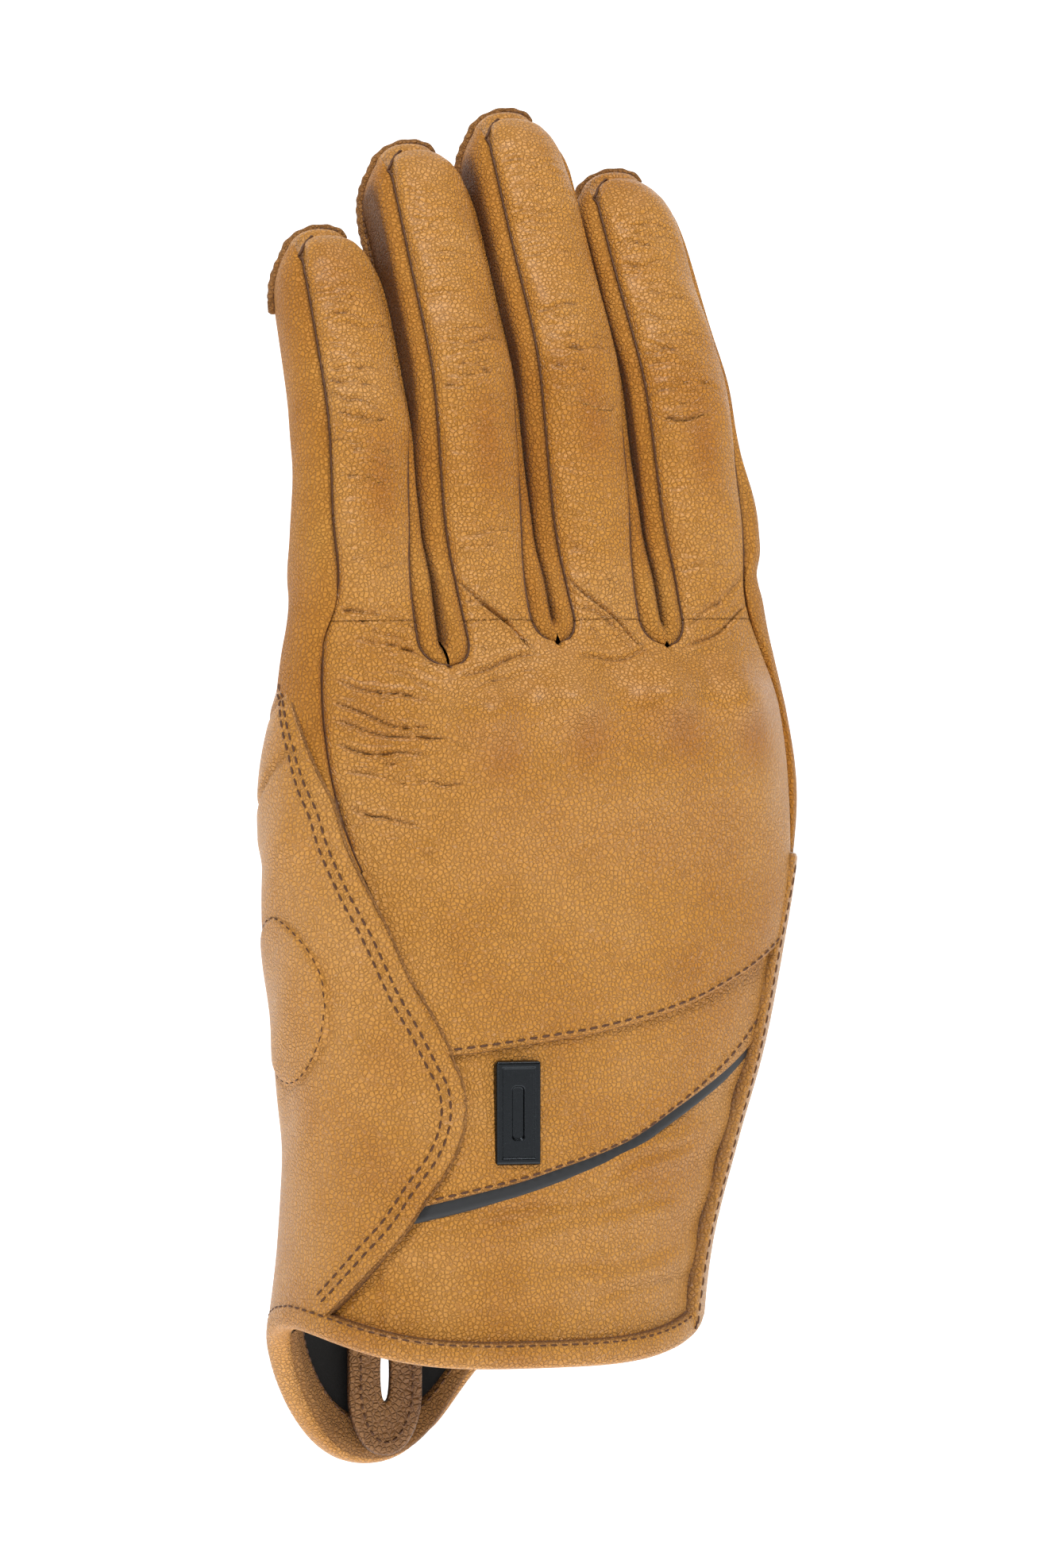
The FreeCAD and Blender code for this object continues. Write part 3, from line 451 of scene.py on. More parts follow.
def make_mesh(name, vertices, faces, material, body, normals=None, seam=None, flip=False):
    """A smooth mesh from millimetre points; seam is painted shade towards its stitched edges and creases,
    and on the pull tab its painted edge.
    """
    vertices = np.asarray(vertices, float).reshape(-1, 3) * MM
    faces = np.asarray(faces)
    if flip:
        faces = faces[:, ::-1]
    data = smooth_mesh(name, vertices, faces.tolist())
    if seam is not None:
        layer = data.attributes.new("seam", "FLOAT", "POINT")
        layer.data.foreach_set("value", np.asarray(seam, np.float32).ravel())
    data.update()
    if normals is not None:
        data.normals_split_custom_set_from_vertices(np.asarray(normals).reshape(-1, 3).tolist())
    return put_in_scene(name, data, material, body)


def blended(item, first, second, joint, before, after):
    """Bake a piece's placement into its mesh."""
    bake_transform(item)


# ---------------------------------------------------------------- nodes and materials
def linear(code):
    """A linear RGBA colour from an sRGB hex code."""
    srgb = [int(code[i:i + 2], 16) / 255 for i in (1, 3, 5)]
    return [c / 12.92 if c <= 0.04045 else ((c + 0.055) / 1.055) ** 2.4 for c in srgb] + [1.0]


def add(tree, kind, links=(), **settings):
    """Add a node, set its properties or inputs, and link (output, input name) pairs to it."""
    item = tree.nodes.new(kind)
    for key, value in settings.items():
        if key in item.inputs:
            item.inputs[key].default_value = value
        else:
            setattr(item, key, value)
    for output, socket in links:
        tree.links.new(output, item.inputs[socket])
    return item


def mixed_out(node):
    """The colour output of a mix node."""
    return next(o for o in node.outputs if o.type == "RGBA")


def mixed(tree, factor, first, second):
    """A colour mix from the output `first` to the fixed colour `second`."""
    node = add(tree, "ShaderNodeMix", [(factor, "Factor")], data_type="RGBA")
    colours = [s for s in node.inputs if s.type == "RGBA"]
    tree.links.new(first, colours[0])
    colours[1].default_value = second
    return node


def start_material(name):
    """A new material with an empty tree, its shader and its output."""
    item = bpy.data.materials.new(name)
    item.use_nodes = True
    tree = item.node_tree
    tree.nodes.clear()
    shader = tree.nodes.new("ShaderNodeBsdfPrincipled")
    output = tree.nodes.new("ShaderNodeOutputMaterial")
    tree.links.new(shader.outputs["BSDF"], output.inputs["Surface"])
    return item, tree, shader


def grained_leather(name, middle, light, dark, crease_dark, grain=0.85, rough=0.40):
    """Drum-dyed goat leather, plated and lightly waxed.

    Pebbles about `grain` millimetres wide give the broken highlight, and slow blotches of paler and deeper
    dye give the uneven tan. The seam attribute mixes in the dark colour as painted shade along seams,
    edges, wrinkle valleys and the crease between fingers, and on the pull tab as its painted edge; below
    zero it mixes in a deeper orange, painted shade under the knuckle bumps and the middle joints.
    """
    item, tree, shader = start_material(name)
    place = add(tree, "ShaderNodeTexCoord").outputs["Object"]
    blotch = add(tree, "ShaderNodeTexNoise", [(place, "Vector")], Scale=38.0, Detail=3.0,
                 Roughness=0.55)
    ramp = add(tree, "ShaderNodeValToRGB", [(blotch.outputs["Fac"], "Fac")])
    ramp.color_ramp.elements[0].position = 0.32
    ramp.color_ramp.elements[0].color = linear(dark)
    ramp.color_ramp.elements[1].position = 0.70
    ramp.color_ramp.elements[1].color = linear(light)
    centre = ramp.color_ramp.elements.new(0.5)
    centre.color = linear(middle)
    cells = add(tree, "ShaderNodeTexVoronoi", [(place, "Vector")], feature="DISTANCE_TO_EDGE",
                Scale=1000.0 / grain, Randomness=1.0)
    furrow = add(tree, "ShaderNodeMapRange", [(cells.outputs["Distance"], "Value")])
    furrow.inputs["From Max"].default_value = 0.18
    fine = add(tree, "ShaderNodeTexNoise", [(place, "Vector")], Scale=2400.0, Detail=2.0)
    pits = add(tree, "ShaderNodeMix", [(ramp.outputs["Color"], "B"),
                                       (furrow.outputs["Result"], "Factor")],
               data_type="RGBA")
    shade = add(tree, "ShaderNodeMix", [(ramp.outputs["Color"], "A")], data_type="RGBA",
                blend_type="MULTIPLY")
    shade.inputs["Factor"].default_value = 1.0
    shade.inputs["B"].default_value = (0.80, 0.76, 0.72, 1.0)
    for socket in (s for s in pits.inputs if s.type == "RGBA"):
        source = mixed_out(shade) if socket.name == "A" else ramp.outputs["Color"]
        tree.links.new(source, socket)
    # The seam attribute: painted shade to crease_dark along seams, edges and creases (the painted edge on
    # the pull tab), and below zero a deeper orange of painted shade.
    shade_and_edge_paint = add(tree, "ShaderNodeAttribute", attribute_name="seam").outputs["Fac"]
    shade_patch_amount = add(tree, "ShaderNodeMath", [(shade_and_edge_paint, 0)], operation="MULTIPLY", use_clamp=True)
    shade_patch_amount.inputs[1].default_value = -1.0
    shade_patches = mixed(tree, shade_patch_amount.outputs["Value"], mixed_out(pits), linear("#B9731A"))
    edge = mixed(tree, shade_and_edge_paint, mixed_out(shade_patches), linear(crease_dark))
    tree.links.new(mixed_out(edge), shader.inputs["Base Color"])
    relief = add(tree, "ShaderNodeMath", [(furrow.outputs["Result"], 0),
                                          (fine.outputs["Fac"], 1)], operation="ADD")
    bump = add(tree, "ShaderNodeBump", [(relief.outputs["Value"], "Height")], Strength=0.8,
               Distance=0.00033)
    tree.links.new(bump.outputs["Normal"], shader.inputs["Normal"])
    wax = add(tree, "ShaderNodeTexNoise", [(place, "Vector")], Scale=120.0, Detail=2.0)
    gloss = add(tree, "ShaderNodeMapRange", [(wax.outputs["Fac"], "Value")])
    gloss.inputs["To Min"].default_value = rough - 0.06
    gloss.inputs["To Max"].default_value = rough + 0.10
    tree.links.new(gloss.outputs["Result"], shader.inputs["Roughness"])
    shader.inputs["IOR"].default_value = 1.48
    shader.inputs["Coat Weight"].default_value = 0.20
    shader.inputs["Coat Roughness"].default_value = 0.38
    shader.inputs["Sheen Weight"].default_value = 0.05
    if rough > 0.5:
        shader.inputs["Coat Weight"].default_value = 0.0
        shader.inputs["Specular IOR Level"].default_value = 0.2
    return item


def plain_material(name, colour, rough, metal=0.0, noise=900.0, bump=0.15, depth=0.0001):
    """A material of one colour whose roughness and bump come from a fine noise."""
    item, tree, shader = start_material(name)
    place = add(tree, "ShaderNodeTexCoord").outputs["Object"]
    grain = add(tree, "ShaderNodeTexNoise", [(place, "Vector")], Scale=noise, Detail=3.0)
    spread = add(tree, "ShaderNodeMapRange", [(grain.outputs["Fac"], "Value")])
    spread.inputs["To Min"].default_value = max(rough - 0.08, 0.02)
    spread.inputs["To Max"].default_value = rough + 0.08
    tree.links.new(spread.outputs["Result"], shader.inputs["Roughness"])
    relief = add(tree, "ShaderNodeBump", [(grain.outputs["Fac"], "Height")], Strength=bump,
                 Distance=depth)
    tree.links.new(relief.outputs["Normal"], shader.inputs["Normal"])
    shader.inputs["Base Color"].default_value = linear(colour)
    shader.inputs["Metallic"].default_value = metal
    return item


# The leathers: TAN is the glove's own warm broken gloss, SUEDE_TAN the duller gussets, RIM_BROWN
# the dry worn edges and the painted shadow line along the side panel's edge, and TAB_BROWN the
# coarser, darker tab.
TAN = grained_leather("goat_leather_caramel_waxed", "#D39137", "#DA9B49", "#C88428", "#5A3418")
SUEDE_TAN = grained_leather("goat_leather_caramel_gusset", "#C88633", "#D09240", "#B9782A",
                            "#54301A", rough=0.52)
RIM_BROWN = grained_leather("goat_leather_rim_worn", "#A06F3A", "#B07E46", "#8A5C2D", "#4E2E17",
                            rough=0.55)
TAB_BROWN = grained_leather("calf_leather_tab_edge_painted", "#9C6A35", "#AA763F", "#8C5C2C",
                            "#5A3518", grain=1.1, rough=0.42)
# THREAD reads as matt dark dashes, LINING and HOOK swallow light, FILM is an even grey with a
# faint sparkle, GUNMETAL catches the lamps, GUARD and FOAM are the hidden dark layers.
THREAD = plain_material("polyester_thread_bonded_brown", "#5C381C", 0.6, noise=4000.0)
LINING = plain_material("polyester_knit_black", "#141210", 0.95, noise=2600.0, bump=0.5)
FILM = plain_material("glass_bead_reflective_film_grey", "#303133", 0.5, noise=5200.0)
GUNMETAL = plain_material("zinc_alloy_black_nickel_plated", "#3A3D40", 0.27, metal=1.0,
                          noise=700.0, bump=0.05)
GUARD = plain_material("tpu_moulded_black", "#1B1B1C", 0.5)
FOAM = plain_material("eva_foam_charcoal", "#3A3A3B", 0.9, noise=1500.0, bump=0.4)
HOOK = plain_material("nylon_hook_and_loop_black", "#171614", 0.95, noise=3000.0, bump=0.6)


# ---------------------------------------------------------------- strips of the fingers
def u_gap(name, s, straight):
    """Half the distance between two backs: zero at the bottom of their U, then a quarter round."""
    low = CROTCH[name]
    turn = np.clip(1 - (s - low) / U_RADIUS, 0.0, 1.0)
    return np.where(s < low, 0.0, straight * np.sqrt(np.clip(1 - turn ** 2, 0.0, 1.0)))


def boundary(name):
    """x of the line between a finger and its neighbour, below and inside their U."""
    other = FINGERS[FINGERS.index(name) + 1]
    return 0.5 * (HINGES[f"{name}_knuckle"][0] + HINGES[f"{other}_knuckle"][0])


def back_edges(f, s):
    """x of the left and right edges of a finger's back, from the hand to the tip."""
    wide, _, _ = finger_sizes(f, s)
    left = finger_x(f, s) - wide * power(np.cos(np.radians(seam_angle(s))))
    right = finger_x(f, s) + wide * power(np.cos(np.radians(seam_angle(s, 1))))
    place = FINGERS.index(f)
    if place > 0:
        name = FINGERS[place - 1]
        line = boundary(name)
        left = line + u_gap(name, s, left - line)
    else:
        low = through(s, (90.0, 101.0, 106.0, 124.0, 140.0, 152.0),
                      (-31.0, -35.3, -36.7, -39.0, -38.2, -36.3))
        left = low + (left - low) * smooth(s, 140.0, 156.0)
    if place < 3:
        line = boundary(f)
        right = line - u_gap(f, s, line - right)
    else:
        low = through(s, (60.0, 84.0, 100.0, 124.0, 140.0, 152.0),
                      (56.0, 60.5, 62.0, 61.5, 57.0, 53.2))
        right = low + (right - low) * smooth(s, 138.0, 156.0)
    return left, right


def finger_back_y(f, x, s):
    """y of a finger's back at x: the rounded section."""
    wide, back, _ = finger_sizes(f, s)
    xi = np.clip(np.abs(x - finger_x(f, s)) / np.maximum(wide, 1e-6), 0.0, 0.999)
    return -back * (1 - xi ** ROUND) ** (1 / ROUND)


def column_back_y(f, x, s):
    """y of the back leather: the hand's below, the finger's above."""
    w = rise(s)
    return (1 - w) * hand_y(x, s) + w * finger_back_y(f, x, s)


def tip_arch(f, t):
    """Height where the back ends at the fingertip: an arch over its width."""
    _, _, tip = finger_marks(f)
    return tip - 2.0 - 5.8 * (1 - np.clip(1 - np.abs(t) ** 3, 0.0, 1.0) ** (1 / 3))


def back_hem(f, t):
    """Height of the folded lower edge of the back leather, which follows the band's top line."""
    left, right = back_edges(f, np.array(76.0))
    return through(left + (right - left) * (t + 1) / 2, *BAND_TOP) - STITCH_BACK


def back_column(f):
    """The back leather of one finger: heights s from the hem to the tip, t across from -1 to 1.

    x runs between the two seams, y is the blended section, raised by wrinkles and rolled at the
    seams; all of it then bends with the finger. Returns points, normals, painted shade, heights.
    """
    t = np.linspace(-1.0, 1.0, 63)[None, :]
    t = np.sin(t * np.pi / 2) * 0.55 + t * 0.45
    _, middle, tip = finger_marks(f)
    base = np.concatenate([np.arange(134.0, SPLIT_HAND + 3, 0.3),
                           np.arange(SPLIT_HAND + 3, tip - 10.0, 0.5)])
    q = np.linspace(0.0, 1.0, 40)[1:]
    hem = back_hem(f, t)
    close = np.linspace(0.0, 1.0, 13)[:-1, None] ** 1.5
    start = np.linspace(0.0, 1.0, 26)[:-1, None]
    s = np.concatenate([hem + 4.0 * close, hem + 4.0 + (100.0 - hem - 4.0) * start,
                        np.arange(100.0, 134.0, 0.38)[:, None] + 0 * t, base[:, None] + 0 * t,
                        base[-1] + q[:, None] * (tip_arch(f, t) - base[-1])])
    left, right = back_edges(f, s)
    x = left + (right - left) * (t + 1) / 2
    y = column_back_y(f, x, s)
    gap_side = np.minimum(np.where(t < 0, x - left, 99.0), np.where(t >= 0, right - x, 99.0))
    open_left = (s > CROTCH[FINGERS[FINGERS.index(f) - 1]] - 0.4) if f != "pinky" else s > 100.0
    open_right = (s > CROTCH[f] - 0.4) if f != "index" else s > 84.0
    open_side = np.where(t < 0, open_left, open_right)
    gap_top = np.where(s > tip - 14, tip_arch(f, t) - s + 0 * x, 99.0)
    below = 99.0 + 0 * x
    for name in CROTCH:
        if f == name or (f != "pinky" and FINGERS[FINGERS.index(f) - 1] == name):
            far = np.hypot(x - boundary(name), s - CROTCH[name])
            below = np.where(s <= CROTCH[name], np.minimum(below, far), below)
    gap = np.minimum(np.minimum(np.where(open_side, gap_side, 99.0), gap_top), below)
    over = 1.9 * rounded(s - hem, 1.3) * (1 - smooth(s - hem, 4.0, 34.0))
    lift = (wrinkles(f, x, s) * (1 - np.exp(-(gap / 1.6) ** 2)) - 0.75 * np.exp(-(gap / 0.8) ** 2)
            + over)
    gap = np.minimum(gap, s - hem)
    straight = np.stack([x, y, s], -1)
    bent = bend(f, straight)
    normal = grid_normals(bent)
    points = bent + normal * lift[..., None]
    # Painted shade on the sewn edges and in the valleys of the wrinkles.
    folded = np.clip(-2.5 * creases(f, x, s) - 0.12, 0.0, 1.0)
    seam = seam_shade(gap) + 0.5 * folded ** 1.4
    # Deeper orange patches of painted shade: under each knuckle bump and below each middle joint.
    shade_patches = 0.9 * np.exp(-((x - finger_x(f, s) - 1.5) / 4.0) ** 2
                          - ((s - middle + 12) / 9.5) ** 2)
    for kx, kz, _ in GUARD_KNUCKLES:
        shade_patches = shade_patches + 0.75 * np.exp(-((x - kx - 3.0) / 5.0) ** 2 - ((s - kz + 9) / 5.5) ** 2)
    # Painted shade for the seam attribute; below zero it picks the orange patches.
    shade_and_edge_paint = np.where(seam > 0.12, seam, -np.clip(shade_patches, 0.0, 1.0))
    return points, grid_normals(points), shade_and_edge_paint, s


def edge_line(data, side, s):
    """Points on a strip's left (-1) or right (1) edge at the heights s."""
    points, _, _, heights = data
    column = 0 if side < 0 else -1
    line = points[:, column]
    at = heights[:, column]
    return np.stack([np.interp(s, at, line[:, k]) for k in range(3)], -1)


STRIP_RUN = 16.0              # about how far a gusset reaches from the back seam to the palm seam


def side_column(f, side, back_strip, palm_strip, low=None):
    """A finger's side gusset: along the finger from the crotch's U to the tip, v from back to palm.

    side is -1 for the little-finger side and 1 for the thumb side. Between two fingers the strip
    runs round the bottom of the U, half of it with each finger. The section is the rounded one,
    from the back seam round to the palm seam, and its edges roll in at both seams.
    """
    _, _, tip = finger_marks(f)
    place = FINGERS.index(f)
    name = None
    if side < 0 and place > 0:
        name = FINGERS[place - 1]
    if side > 0 and place < 3:
        name = f
    v = np.linspace(0.0, 1.0, 25)[None, :]
    v = 0.5 - 0.5 * np.cos(v * np.pi) * 0.6 + (v - 0.5) * 0.4
    top = tip - 2.6 - 5.2 * np.abs(2 * v - 1) ** 2.5
    if name is not None:
        line = boundary(name)
        turn = np.radians(np.linspace(0.0, 90.0, 22))[:, None]
        centre = np.sin(np.pi * v) ** 1.3
        bottom = CROTCH[name] + 6.0 * centre
        radius = U_RADIUS - 2.6 * centre
        first = bottom + radius * (1 - np.cos(turn))
        swing = np.sin(turn) + 0 * v
    else:
        first = np.full((1, 1), low) + 0 * v
        swing = np.ones_like(first)
        bottom, radius = first, 0 * v
    q = np.linspace(0.0, 1.0, 230)[1:, None]
    second = first[-1:] + q * (top - first[-1:])
    s = np.concatenate([first, second])
    swing = np.concatenate([swing, np.ones_like(second)])
    wide, back, palm = finger_sizes(f, s)
    angle = seam_angle(s, side) + (-seam_angle(s) - seam_angle(s, side)) * v
    out = wide * power(np.cos(np.radians(angle)))
    x = finger_x(f, s) + side * out
    y = np.where(angle > 0, -back, palm) * power(np.abs(np.sin(np.radians(angle))))
    edge_left, edge_right = back_edges(f, s)
    seam_x = edge_left if side < 0 else edge_right
    hand_seam = column_back_y(f, seam_x, s)
    palm_seam = (1 - rise(s)) * hand_y(seam_x, s, palm=True) + rise(s) * palm * power(
        np.sin(np.radians(seam_angle(s))))
    mixed = hand_seam + (palm_seam - hand_seam) * smooth(smooth(v, 0.0, 1.0), 0.0, 1.0)
    hold = 1 - smooth(s, 150.0, 162.0)
    y = (1 - hold) * y + hold * mixed
    if name is not None:
        other = FINGERS[place + side]
        between_axes = 0.5 * (finger_x(f, s) + finger_x(other, s))
        limit = np.where(s < 160.0, line, line + (between_axes - line) * smooth(s, 160.0, 200.0))
        x = line + (x - line) * swing
    else:
        w = rise(s)
        middle, hand_wide, hand_back, hand_palm = hand_sizes(s)
        deep = np.where(mixed < 0, hand_back, hand_palm)
        ratio = np.clip(np.abs(mixed) / deep, 0.0, 0.999)
        hand_x = middle + side * hand_wide * (1 - ratio ** ROUND) ** (1 / ROUND)
        x = (1 - w) * hand_x + w * x
        if side > 0:
            x = x + 1.3 * np.exp(-((s - 167.0) / 9.0) ** 2)
            x = x - 1.4 * np.exp(-((s - 153.0) / 3.5) ** 2)
        limit = x + side * 99.0
    crown = (1.5 - 0.6 * smooth(s, 158.0, 178.0)) * np.sin(np.pi * v) ** 0.6 * (
        1 - 0.8 * smooth(s, tip - 17, tip - 5)) * swing
    vertical = 0.25 * np.sin(7.0 * v + 0.03 * s) * smooth(s, 120.0, 140.0)
    flat = np.stack([x, y, s], -1)
    normal = grid_normals(flat, flip=side < 0)
    flat = flat + normal * (crown + vertical * np.sin(np.pi * v))[..., None]
    air = 0.14 * swing
    flat[..., 0] = np.where(side * (flat[..., 0] - limit) > -air, limit - side * air,
                            flat[..., 0])
    # Painted shade in the crease where the gusset meets its neighbour between two fingers.
    between_fingers_shade = 0.75 * np.exp(-((side * (limit - flat[..., 0]) - air) / 0.7) ** 2)
    points = bend(f, flat)
    run = STRIP_RUN * v + 0 * s
    for strip, near, column in ((back_strip, run, 0), (palm_strip, STRIP_RUN - run, -1)):
        hold = 1 - smooth(near, 0.0, 1.9)
        pull = edge_line(strip, side, s[:, column]) - points[:, column]
        points = points + hold[..., None] * pull[:, None, :]
    # Painted shade along both seams and in the crease between the fingers.
    gap = np.minimum(run, STRIP_RUN - run)
    seam = np.maximum(seam_shade(gap), between_fingers_shade * smooth(gap, 2.0, 4.0))
    return points, grid_normals(points, flip=side < 0), seam, s


def palm_column(f, low):
    """The palm side of one finger and its round tip: t across from seam to seam.

    The tip is part of the palm leather: its rows close round the end and stop at the back's arch.
    """
    knuckle, middle, tip = finger_marks(f)
    t = np.linspace(-1.0, 1.0, 41)[None, :]
    s = np.concatenate([np.arange(low, tip - 12.0, 0.7),
                        tip - 12.0 + 12.0 * np.sin(np.linspace(0, 1, 26)[1:] * np.pi / 2)])
    s = s[:, None] + 0 * t
    wide, _, palm = finger_sizes(f, s)
    angle = seam_angle(s)
    place = FINGERS.index(f)
    reach = wide * power(np.cos(np.radians(angle)))
    left, right = finger_x(f, s) - reach, finger_x(f, s) + reach
    if place > 0:
        line = boundary(FINGERS[place - 1])
        left = line + u_gap(FINGERS[place - 1], s, left - line)
    if place < 3:
        line = boundary(f)
        right = line - u_gap(f, s, line - right)
    x = left + (right - left) * (t + 1) / 2
    xi = np.clip(np.abs(x - finger_x(f, s)) / np.maximum(wide, 1e-6), 0.0, 0.999)
    y_finger = palm * (1 - xi ** ROUND) ** (1 / ROUND)
    y = (1 - rise(s)) * hand_y(x, s, palm=True) + rise(s) * y_finger
    bends = 0.25 * (np.exp(-((s - middle) / 0.9) ** 2) + np.exp(-((s - knuckle - 3) / 1.0) ** 2))
    gap = (1 - np.abs(t)) * 8.0 + 0 * s
    # The edges roll in at the seams, with painted shade along them.
    roll, seam = -0.7 * np.exp(-(gap / 0.9) ** 2), seam_shade(gap)
    straight = np.stack([x, y, s], -1)
    bent = bend(f, straight)
    normal = grid_normals(bent, flip=True)
    points = bent + normal * (roll - bends)[..., None]
    return points, grid_normals(points, flip=True), seam, s


def tip_cap(f):
    """The round end of the palm leather: a dome just under the back and the gussets.

    An angle runs once round the finger, and the height closes to the tip as a quarter ellipse.
    """
    _, _, tip = finger_marks(f)
    around = np.radians(np.linspace(0.0, 360.0, 97))[None, :]
    q = np.linspace(0.0, 1.0, 30)[:, None]
    s = tip - 11.5 + 11.48 * np.sin(q * np.pi / 2) + 0 * around
    wide, high, low = finger_sizes(f, s)
    back = smooth(np.sin(around), 0.0, 0.5)
    lift = 0.75 - (1.0 + 0.6 * back) * (1 - smooth(s, tip - 4.0, tip - 1.0))
    grow = 1.0 + lift / np.maximum(wide, 2.0)
    x = finger_x(f, s) + wide * grow * power(np.cos(around))
    y = -np.where(np.sin(around) > 0, high, low) * grow * power(np.sin(around))
    return bend(f, np.stack([x, y, s + lift * q], -1))


def tip_rim_path(f):
    """Where the palm leather's sewn edge stands out: up the little-finger side and over the tip."""
    _, _, tip = finger_marks(f)
    down = {"pinky": 3.0, "index": 1.0}.get(f, 17.0)
    turn = np.linspace(0.0, 2.1, 60)
    wide, _, low = finger_sizes(f, np.array(tip - TIP_LENGTH))
    s = np.concatenate([np.linspace(tip - TIP_LENGTH - down, tip - TIP_LENGTH, 40)[:-1],
                        tip - TIP_LENGTH + (TIP_LENGTH + 0.2) * np.sin(turn)])
    out = np.concatenate([np.ones(39), np.cos(turn)])
    x = finger_x(f, s) - wide * np.sign(out) * np.abs(out) ** 0.85
    y = 0.42 * low * np.clip(out, 0.0, 1.0) ** 0.7 - 2.6 * (1 - np.clip(out, 0, 1))
    return bend(f, np.stack([x, y, s], -1))


def between(data, low, high):
    """The rows of a strip whose middle height lies between low and high, sharing end rows."""
    points, normals, seam, s = data
    centre = s[:, 0]
    rows = np.where((centre >= low - 1e-6) & (centre <= high + 1e-6))[0]
    first, last = rows[0], rows[-1]
    if high < centre[-1]:
        last = min(last + 1, len(centre) - 1)
    pick = slice(first, last + 1)
    return points[pick], normals[pick], seam[pick]


def strip_piece(name, part, material, body=None, flip=False):
    """A mesh from the rows of a strip, with its own smooth normals."""
    points, normals, seam = part
    return make_mesh(name, points, grid_faces(*points.shape[:2]), material, body, normals, seam,
                     flip)


def capsules(name, centres, directions, normals, material, body, length=1.7, radius=0.27):
    """Stitches: one small six-sided capsule per centre, lying along its direction."""
    ring = np.radians(np.arange(6) * 60.0)
    along = np.array([-0.5, -0.36, 0.0, 0.36, 0.5]) * length
    thick = np.array([0.25, 0.85, 1.0, 0.85, 0.25]) * radius
    way = unit(directions)
    side = unit(np.cross(way, normals))
    up = np.cross(side, way)
    points = (centres[:, None, None, :]
              + way[:, None, None, :] * along[None, :, None, None]
              + side[:, None, None, :] * (thick[None, :, None, None]
                                          * np.cos(ring)[None, None, :, None])
              + up[:, None, None, :] * (thick[None, :, None, None]
                                        * np.sin(ring)[None, None, :, None]))
    count = len(centres)
    base = np.arange(count)[:, None, None] * 30
    i, j = np.arange(4)[None, :, None] * 6, np.arange(6)[None, None, :]
    k = (j + 1) % 6
    quads = np.stack([base + i + j, base + i + 6 + j, base + i + 6 + k, base + i + k],
                     -1).reshape(-1, 4)
    faces = quads.tolist()
    for n in range(count):
        faces.append([n * 30 + m for m in range(6)])
        faces.append([n * 30 + 24 + m for m in range(5, -1, -1)])
    return put_in_scene(name, smooth_mesh(name, points.reshape(-1, 3) * MM, faces), material, body)


def resample(path, pitch):
    """Points and directions at an even pitch along a path of points."""
    steps = np.linalg.norm(np.diff(path, axis=0), axis=1)
    run = np.concatenate([[0.0], np.cumsum(steps)])
    count = max(int(run[-1] / pitch), 1)
    at = (np.arange(count) + 0.5) * run[-1] / count
    centre = np.stack([np.interp(at, run, path[:, k]) for k in range(3)], -1)
    ahead = np.stack([np.interp(at + 0.4, run, path[:, k]) for k in range(3)], -1)
    behind = np.stack([np.interp(at - 0.4, run, path[:, k]) for k in range(3)], -1)
    return centre, ahead - behind


def set_down(path, objects, lift):
    """A path moved onto the nearest surface of some objects, raised by lift, and smoothed."""
    graph = bpy.context.evaluated_depsgraph_get()
    trees = [BVHTree.FromObject(item, graph) for item in objects]
    moved = []
    for point in path:
        hits = [tree.find_nearest(Vector(point * MM)) for tree in trees]
        best = min(hits, key=lambda hit: hit[3])
        moved.append((best[0] + best[1] * lift * MM)[:])
    moved = np.array(moved) / MM
    inner = (moved[:-4] + moved[1:-3] + moved[2:-2] + moved[3:-1] + moved[4:]) / 5
    return np.concatenate([moved[:2], inner, moved[-2:]])


def stitch_row(name, path, on, body, material=THREAD, pitch=2.5, length=1.7, radius=0.26,
               lift=0.05):
    """A row of stitches along a path, set down on the nearest surface of the leather `on`."""
    centres, ways = resample(path, pitch)
    tree = BVHTree.FromObject(on, bpy.context.evaluated_depsgraph_get())
    hits = [tree.find_nearest(Vector(c * MM)) for c in centres]
    centres = np.array([hit[0][:] for hit in hits]) / MM
    normals = np.array([hit[1][:] for hit in hits])
    return capsules(name, centres + normals * lift, ways, normals, material, body, length, radius)


def thread_tube(name, path, radius, material, body, sides=6, lumps=0.22, taper=0):
    """A thin closed tube along a path: a round profile carried on the path's own frame.

    Its radius waves a little by lumps, and tapers over `taper` points at each end.
    """
    way = np.gradient(path, axis=0)
    way = way / np.maximum(np.linalg.norm(way, axis=1, keepdims=True), 1e-9)
    side = np.cross(way, np.array([0.0, 1.0, 0.001]))
    side = side / np.maximum(np.linalg.norm(side, axis=1, keepdims=True), 1e-9)
    up = np.cross(side, way)
    ring = np.radians(np.arange(sides) * 360.0 / sides)
    waves = radius * (1 + lumps * np.sin(np.arange(len(path)) * 1.1))[:, None, None]
    if taper:
        place = np.arange(len(path))
        ends = np.clip(np.minimum(place, len(path) - 1 - place) / taper, 0.05, 1.0)
        waves = waves * np.sqrt(1 - (1 - ends) ** 2)[:, None, None]
    points = (path[:, None, :] + waves * (side[:, None, :] * np.cos(ring)[None, :, None]
                                          + up[:, None, :] * np.sin(ring)[None, :, None]))
    index = np.arange(len(path) * sides).reshape(len(path), sides)
    nxt = np.roll(index, -1, axis=1)
    quads = np.stack([index[:-1], index[1:], nxt[1:], nxt[:-1]], -1).reshape(-1, 4)
    faces = quads.tolist() + [index[0].tolist(), index[-1][::-1].tolist()]
    return put_in_scene(name, smooth_mesh(name, points.reshape(-1, 3) * MM, faces), material, body)


# ---------------------------------------------------------------- build the fingers
hand_parts = []


